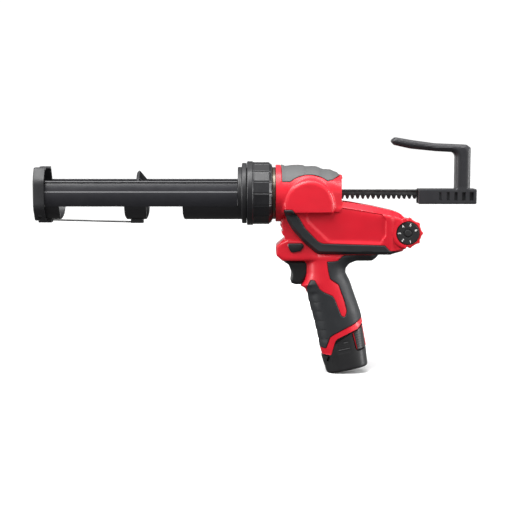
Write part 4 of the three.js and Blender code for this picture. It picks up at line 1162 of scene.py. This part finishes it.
def dial():
    """The thumb wheel, with nine narrow teeth, and the numbered disc that shows in the housing's bore."""
    low, high = cad("speed_dial")
    front, back = low[1] + 0.6, low[1] + 12.2
    teeth = 9

    def toothed(angle, along, radius):
        near = np.abs((angle * teeth / math.tau - 0.5) % 1 - 0.5) * 2 * math.pi / teeth
        return np.where(radius > 13.9, 1.6 * np.exp(-((near / 0.12) ** 2)), 0)

    profile = path([
        (front + 1.2, 0), (front + 1.2, 12.5, 0.3), (front, 12.8, 0.3), (front + 0.2, 14, 0.8),
        (front + 1.6, 14.6, 0.6), (back, 14.6, 0.8), (back, 3), (high[1], 3, 0.5), (high[1], 0),
    ], 1.0)
    wheel = revolve(profile, "y", DIAL, teeth * 32, toothed)
    piece("dial_wheel", wheel, "dial", "dial_red", ["speed_dial"], angle=40)
    disc = path([
        (front - 1.1, 0), (front - 1.1, 3.3, 0.4), (front + 0.2, 3.8, 0.3), (front + 0.2, 4.5, 0.3),
        (front - 0.5, 5, 0.3), (front - 0.5, 11.8, 0.5), (front + 1, 12.2, 0.2), (front + 1, 0),
    ], 0.8)

    def ticks(angle, along, radius):
        hub = (radius > 3) & (radius < 5) & (along < front - 0.3)
        return np.where(hub, -0.25 * (np.cos(12 * angle) > 0.4), 0)

    piece("dial_plate", revolve(disc, "y", DIAL, 144, ticks), "dial", "dial_black", ["dial_face"])
    joined = bmesh.new()
    count, first, apart = 6, 286, 53
    for k in range(count):
        mesh = digit(str(k + 1), front - 0.62, math.radians(first - apart * k))
        joined.from_mesh(mesh)
        bpy.data.meshes.remove(mesh)
    bmesh.ops.remove_doubles(joined, verts=joined.verts, dist=1e-6)
    mesh = bpy.data.meshes.new("dial_numbers")
    joined.to_mesh(mesh)
    joined.free()
    mesh.materials.clear()
    mesh.materials.append(FINISHES["dial_white"])
    digits = placed("dial_numbers", mesh)
    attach(digits, "dial")


def digit(sign, front, angle):
    """A raised numeral near the disc's rim, with its foot towards the centre."""
    text = bpy.data.curves.new("digit", "FONT")
    text.body = sign
    text.size, text.extrude, text.offset = 4.1 * MM, 0.12 * MM, 0.03 * MM
    text.align_x = "CENTER"
    text.align_y = "CENTER"
    shape = placed("digit", text)
    shape.rotation_euler = (math.pi / 2, math.pi / 2 - angle, 0)
    reach = 8.9
    across, up = reach * math.cos(angle), reach * math.sin(angle)
    shape.location = AXIS + MM * np.array([DIAL[0] + across, front, DIAL[1] + up])
    bpy.context.view_layer.update()
    mesh = bpy.data.meshes.new_from_object(shape.evaluated_get(bpy.context.evaluated_depsgraph_get()))
    mesh.transform(shape.matrix_world)
    bpy.data.objects.remove(shape)
    return mesh


# ------------------------------------------------------------------ battery, drawn upright
BATTERY_HALF, STEM_HALF, STEM_REACH, STEM_TOP, CELL_TOP = 19.4, 17.2, 19.4, 78.0, 72.5
BATTERY = path([
    (-22.4, 0.15, 3), (-24.6, 20.4, 1), (-15.4, 17.8, 1.2), (-8.2, 30.6, 2),
    (25.9, 45, 1.4), (24.4, 20, 20), (22.4, 0.15, 3),
], 0.9)
LATCH = path([(12.6, 38.4, 0.6), (25.6, 43.4, 0.6), (25, 20, 1), (13.7, 20, 1)], 0.8)
LATCH_CAP = path([(13.9, 38.7, 0.5), (24.4, 42.7, 0.5), (23.9, 20.1, 0.6), (14.3, 20.1, 0.6)], 0.8)
LATCH_POCKET = 2.8
CATCH_SLOT = path([(-16.4, 21.5, 0.4), (-20.4, 13.8, 0.9), (-18.4, 12.9, 0.9), (-14.6, 20.2, 0.4)], 0.6)


def battery_half(plan):
    """The battery's half width in the upright frame: full on its sides and round at front and rear."""
    x, z = plan.T
    low, high = -22.6 - 0.083 * z, 22.5 + 0.075 * z
    share = np.clip(np.abs(2 * x - low - high) / (high - low), 0, 0.9995)
    return BATTERY_HALF * (1 - share**2.7) ** (1 / 2.7) - 0.8 * rollover(z + 0.4, 3)


def battery():
    """The battery's foot and the stem that goes up into the grip, one shell round the three cells."""
    def halfway(plan):
        x, z = plan.T
        height = battery_half(plan)
        ribs = ease((x + 7) / 0.8) * ease((8 - x) / 0.8) * ease((z - 19.5) / 0.6) * ease((33 - z) / 0.6)
        height = height - 0.4 * ribs * (0.5 + 0.5 * np.cos(z * math.tau / 2.2))
        height = height - LATCH_POCKET * ease((depth(plan, LATCH) + 0.5) / 0.3)
        return np.maximum(height - 3 * ease((depth(plan, CATCH_SLOT) + 0.2) / 0.3), 0.12)

    def along_stem(plan):
        share = np.clip(np.abs(plan[:, 0]) / STEM_REACH, 0, 0.999)
        top = rollover(STEM_TOP - plan[:, 1], 2)
        return STEM_HALF * (1 - share**3) ** (1 / 3) - top * (plan[:, 1] > 40)

    rows = [(LATCH, (-0.6, -0.35, -0.15, 0.1)), (CATCH_SLOT, (-0.25, -0.05, 0.15))]
    rims = (0.08, 0.3, 0.8, 1.5, 2.4)
    foot = mirrored(BATTERY, halfway, spacing=1.1, rings=rims, features=rows)
    left, right = -STEM_REACH, STEM_REACH
    column = path([(left, 8), (right, 8), (right, STEM_TOP, 2), (left, STEM_TOP, 2)], 1.4)
    stem = mirrored(column, along_stem, spacing=2.2, rings=(0.1, 0.4, 1, 2))
    reach = STEM_REACH - 2.2
    room = lambda plan: along_stem(plan * (1.06, 1)) - 1.1
    inner = mirrored(box(-reach, 4, reach, CELL_TOP), room, spacing=2.4)
    piece("battery_shell", upended(foot), "battery", "battery_black", ["battery_case", "battery_lid"],
          join=[upended(stem)], cut=[upended(inner)], angle=40)
    for side, name in SIDES:
        latch(side, name)


def upended(solid):
    return leant(solid[0]), solid[1]


def latch(side, name):
    """A red tab round the battery's rear corner, with a black ribbed plate over all but its edges."""
    def tab(plan):
        return side * np.maximum(battery_half(plan) - 0.8 - rollover(depth(plan, LATCH), 0.4), 1.7)

    def cap(plan):
        ridges = 0.15 * np.cos(plan[:, 1] * math.tau / 2.6)
        return side * (battery_half(plan) + 0.3 - rollover(depth(plan, LATCH_CAP), 0.6) + ridges)

    def under(plan):
        return side * np.maximum(battery_half(plan) - 1.4, 1.4)

    body = f"latch_{name}"
    solid = relief(LATCH, tab, under, spacing=1.0)
    piece(f"latch_tab_{name}", upended(solid), body, "red_plastic", [f"battery_latch_{name}"])
    cover = relief(LATCH_CAP, cap, lambda p: side * (battery_half(p) - 1), spacing=0.9)
    piece(f"latch_plate_{name}", upended(cover), body, "red_plastic", finish="battery_black")


# ------------------------------------------------------------------ the CAD nodes that stay
def finish_cad():
    """Rounded edges and a finish for every CAD node that is still shown."""
    slots = {row["node"]: row["material_slot"] for row in frame["record"]["subparts"]}
    for name, node in frame["nodes"].items():
        if node.hide_render:
            continue
        node.data.materials.clear()
        node.data.materials.append(FINISHES[slots[name]])
        node.data.polygons.foreach_set("use_smooth", [True] * len(node.data.polygons))
        node.data.set_sharp_from_angle(angle=math.radians(30))
        node.modifiers.new("joined", "WELD").merge_threshold = 0.002 * MM
        fine = node.modifiers.new("edges", "BEVEL")
        fine.width = 0.18 * MM
        fine.segments = 2
        fine.limit_method = "ANGLE"
        fine.angle_limit = math.radians(32)
        fine.harden_normals = True


# ------------------------------------------------------------------ floor, light and camera
def stage():
    """White paper in a pale studio that is dim behind the photographer, with a key light and soft boxes."""
    paper = Graph(bpy.data.materials.new("paper"))
    fleck = paper.mix(paper.noise(300, 2.0), (0.93, 0.93, 0.93, 1), (0.95, 0.95, 0.95, 1))
    paper.put(paper.shader.inputs["Base Color"], fleck)
    paper.put(paper.shader.inputs["Roughness"], paper.ramp(paper.noise(40), 0.85, 0.95))
    bpy.ops.mesh.primitive_circle_add(vertices=96, radius=9, fill_type="NGON")
    floor = bpy.context.object
    floor.name = "floor"
    floor.data.materials.append(paper.material)
    floor.visible_diffuse = False
    floor.visible_glossy = False
    world = bpy.data.worlds.new("studio")
    studio = Graph(world)
    towards = studio.add("ShaderNodeSeparateXYZ", Vector=studio.direction)
    above = studio.ramp(towards.outputs["Z"], 0.12, 1.1, 0.45, 0.95)
    low = studio.ramp(towards.outputs["Z"], 0.92, 0.0, 0.1, 0.3)
    under = studio.ramp(towards.outputs["Z"], 0.0, 1.0, -0.16, -0.04)
    side = studio.ramp(towards.outputs["Y"], 0.3, 1.0, -0.97, -0.3)
    glow = studio.math("MULTIPLY", studio.math("MULTIPLY", low, under), side)
    studio.put(studio.shader.inputs["Color"], (1.0, 1.0, 1.0, 1.0))
    studio.put(studio.shader.inputs["Strength"], studio.math("ADD", glow, above))
    bpy.context.scene.world = world
    key = bpy.data.lights.new("key", "SUN")
    key.energy = 2.5
    key.angle = math.radians(35)
    aimed(bpy.data.objects.new("key", key), (-0.7, -1.2, 1.9), (0, 0, 0))
    soft_box("overhead", (0, -0.25, 1.3), (0, 0, 0.12), (1.6, 0.3), 12)
    soft_box("left", (-1.5, -0.45, 0.35), (0, 0, 0.1), (0.35, 1.2), 16)
    soft_box("right", (1.5, -0.35, 0.35), (0.1, 0, 0.1), (0.35, 1.2), 22)
    soft_box("front_left", (-1.3, -1.5, 0.9), (0, 0, 0.14), (0.9, 0.9), 5)
    soft_box("front_right", (1.3, -1.5, 0.6), (0, 0, 0.14), (0.9, 0.9), 4)


def aimed(thing, place, target):
    """Puts a lamp or a lens into the scene, pointing at a target."""
    thing.location = place
    thing.rotation_mode = "QUATERNION"
    thing.rotation_quaternion = (Vector(target) - Vector(place)).to_track_quat("-Z", "Y")
    bpy.context.scene.collection.objects.link(thing)
    return thing


def soft_box(name, place, target, size, power):
    """A rectangular lamp, its place and size in metres and its power in watts."""
    lamp = bpy.data.lights.new(name, "AREA")
    lamp.shape = "RECTANGLE"
    lamp.size, lamp.size_y = size
    lamp.energy = power
    aimed(bpy.data.objects.new(name, lamp), place, target)


def camera():
    """A long lens, six degrees above the gun and square to its dial side."""
    away, up, wide = 1.34, math.radians(6), 0.546
    target = Vector((AXIS[0] - 0.5 * MM, 0, AXIS[2] - 66.3 * MM))
    lens = bpy.data.cameras.new("camera")
    lens.sensor_width = 36
    lens.lens = lens.sensor_width * away / wide
    place = target + Vector((0, -away * math.cos(up), away * math.sin(up)))
    bpy.context.scene.camera = aimed(bpy.data.objects.new("camera", lens), place, target)


camera()
stage()
bpy.context.scene.view_settings.view_transform = "Standard"
build_housing()
front_end()
for side, name in SIDES:
    rail(side, name)
mid_saddle()
socket()
collar()
neck()
wire()
plunger()
handle()
ball_races()
trigger()
lock_button()
dial()
battery()
finish_cad()
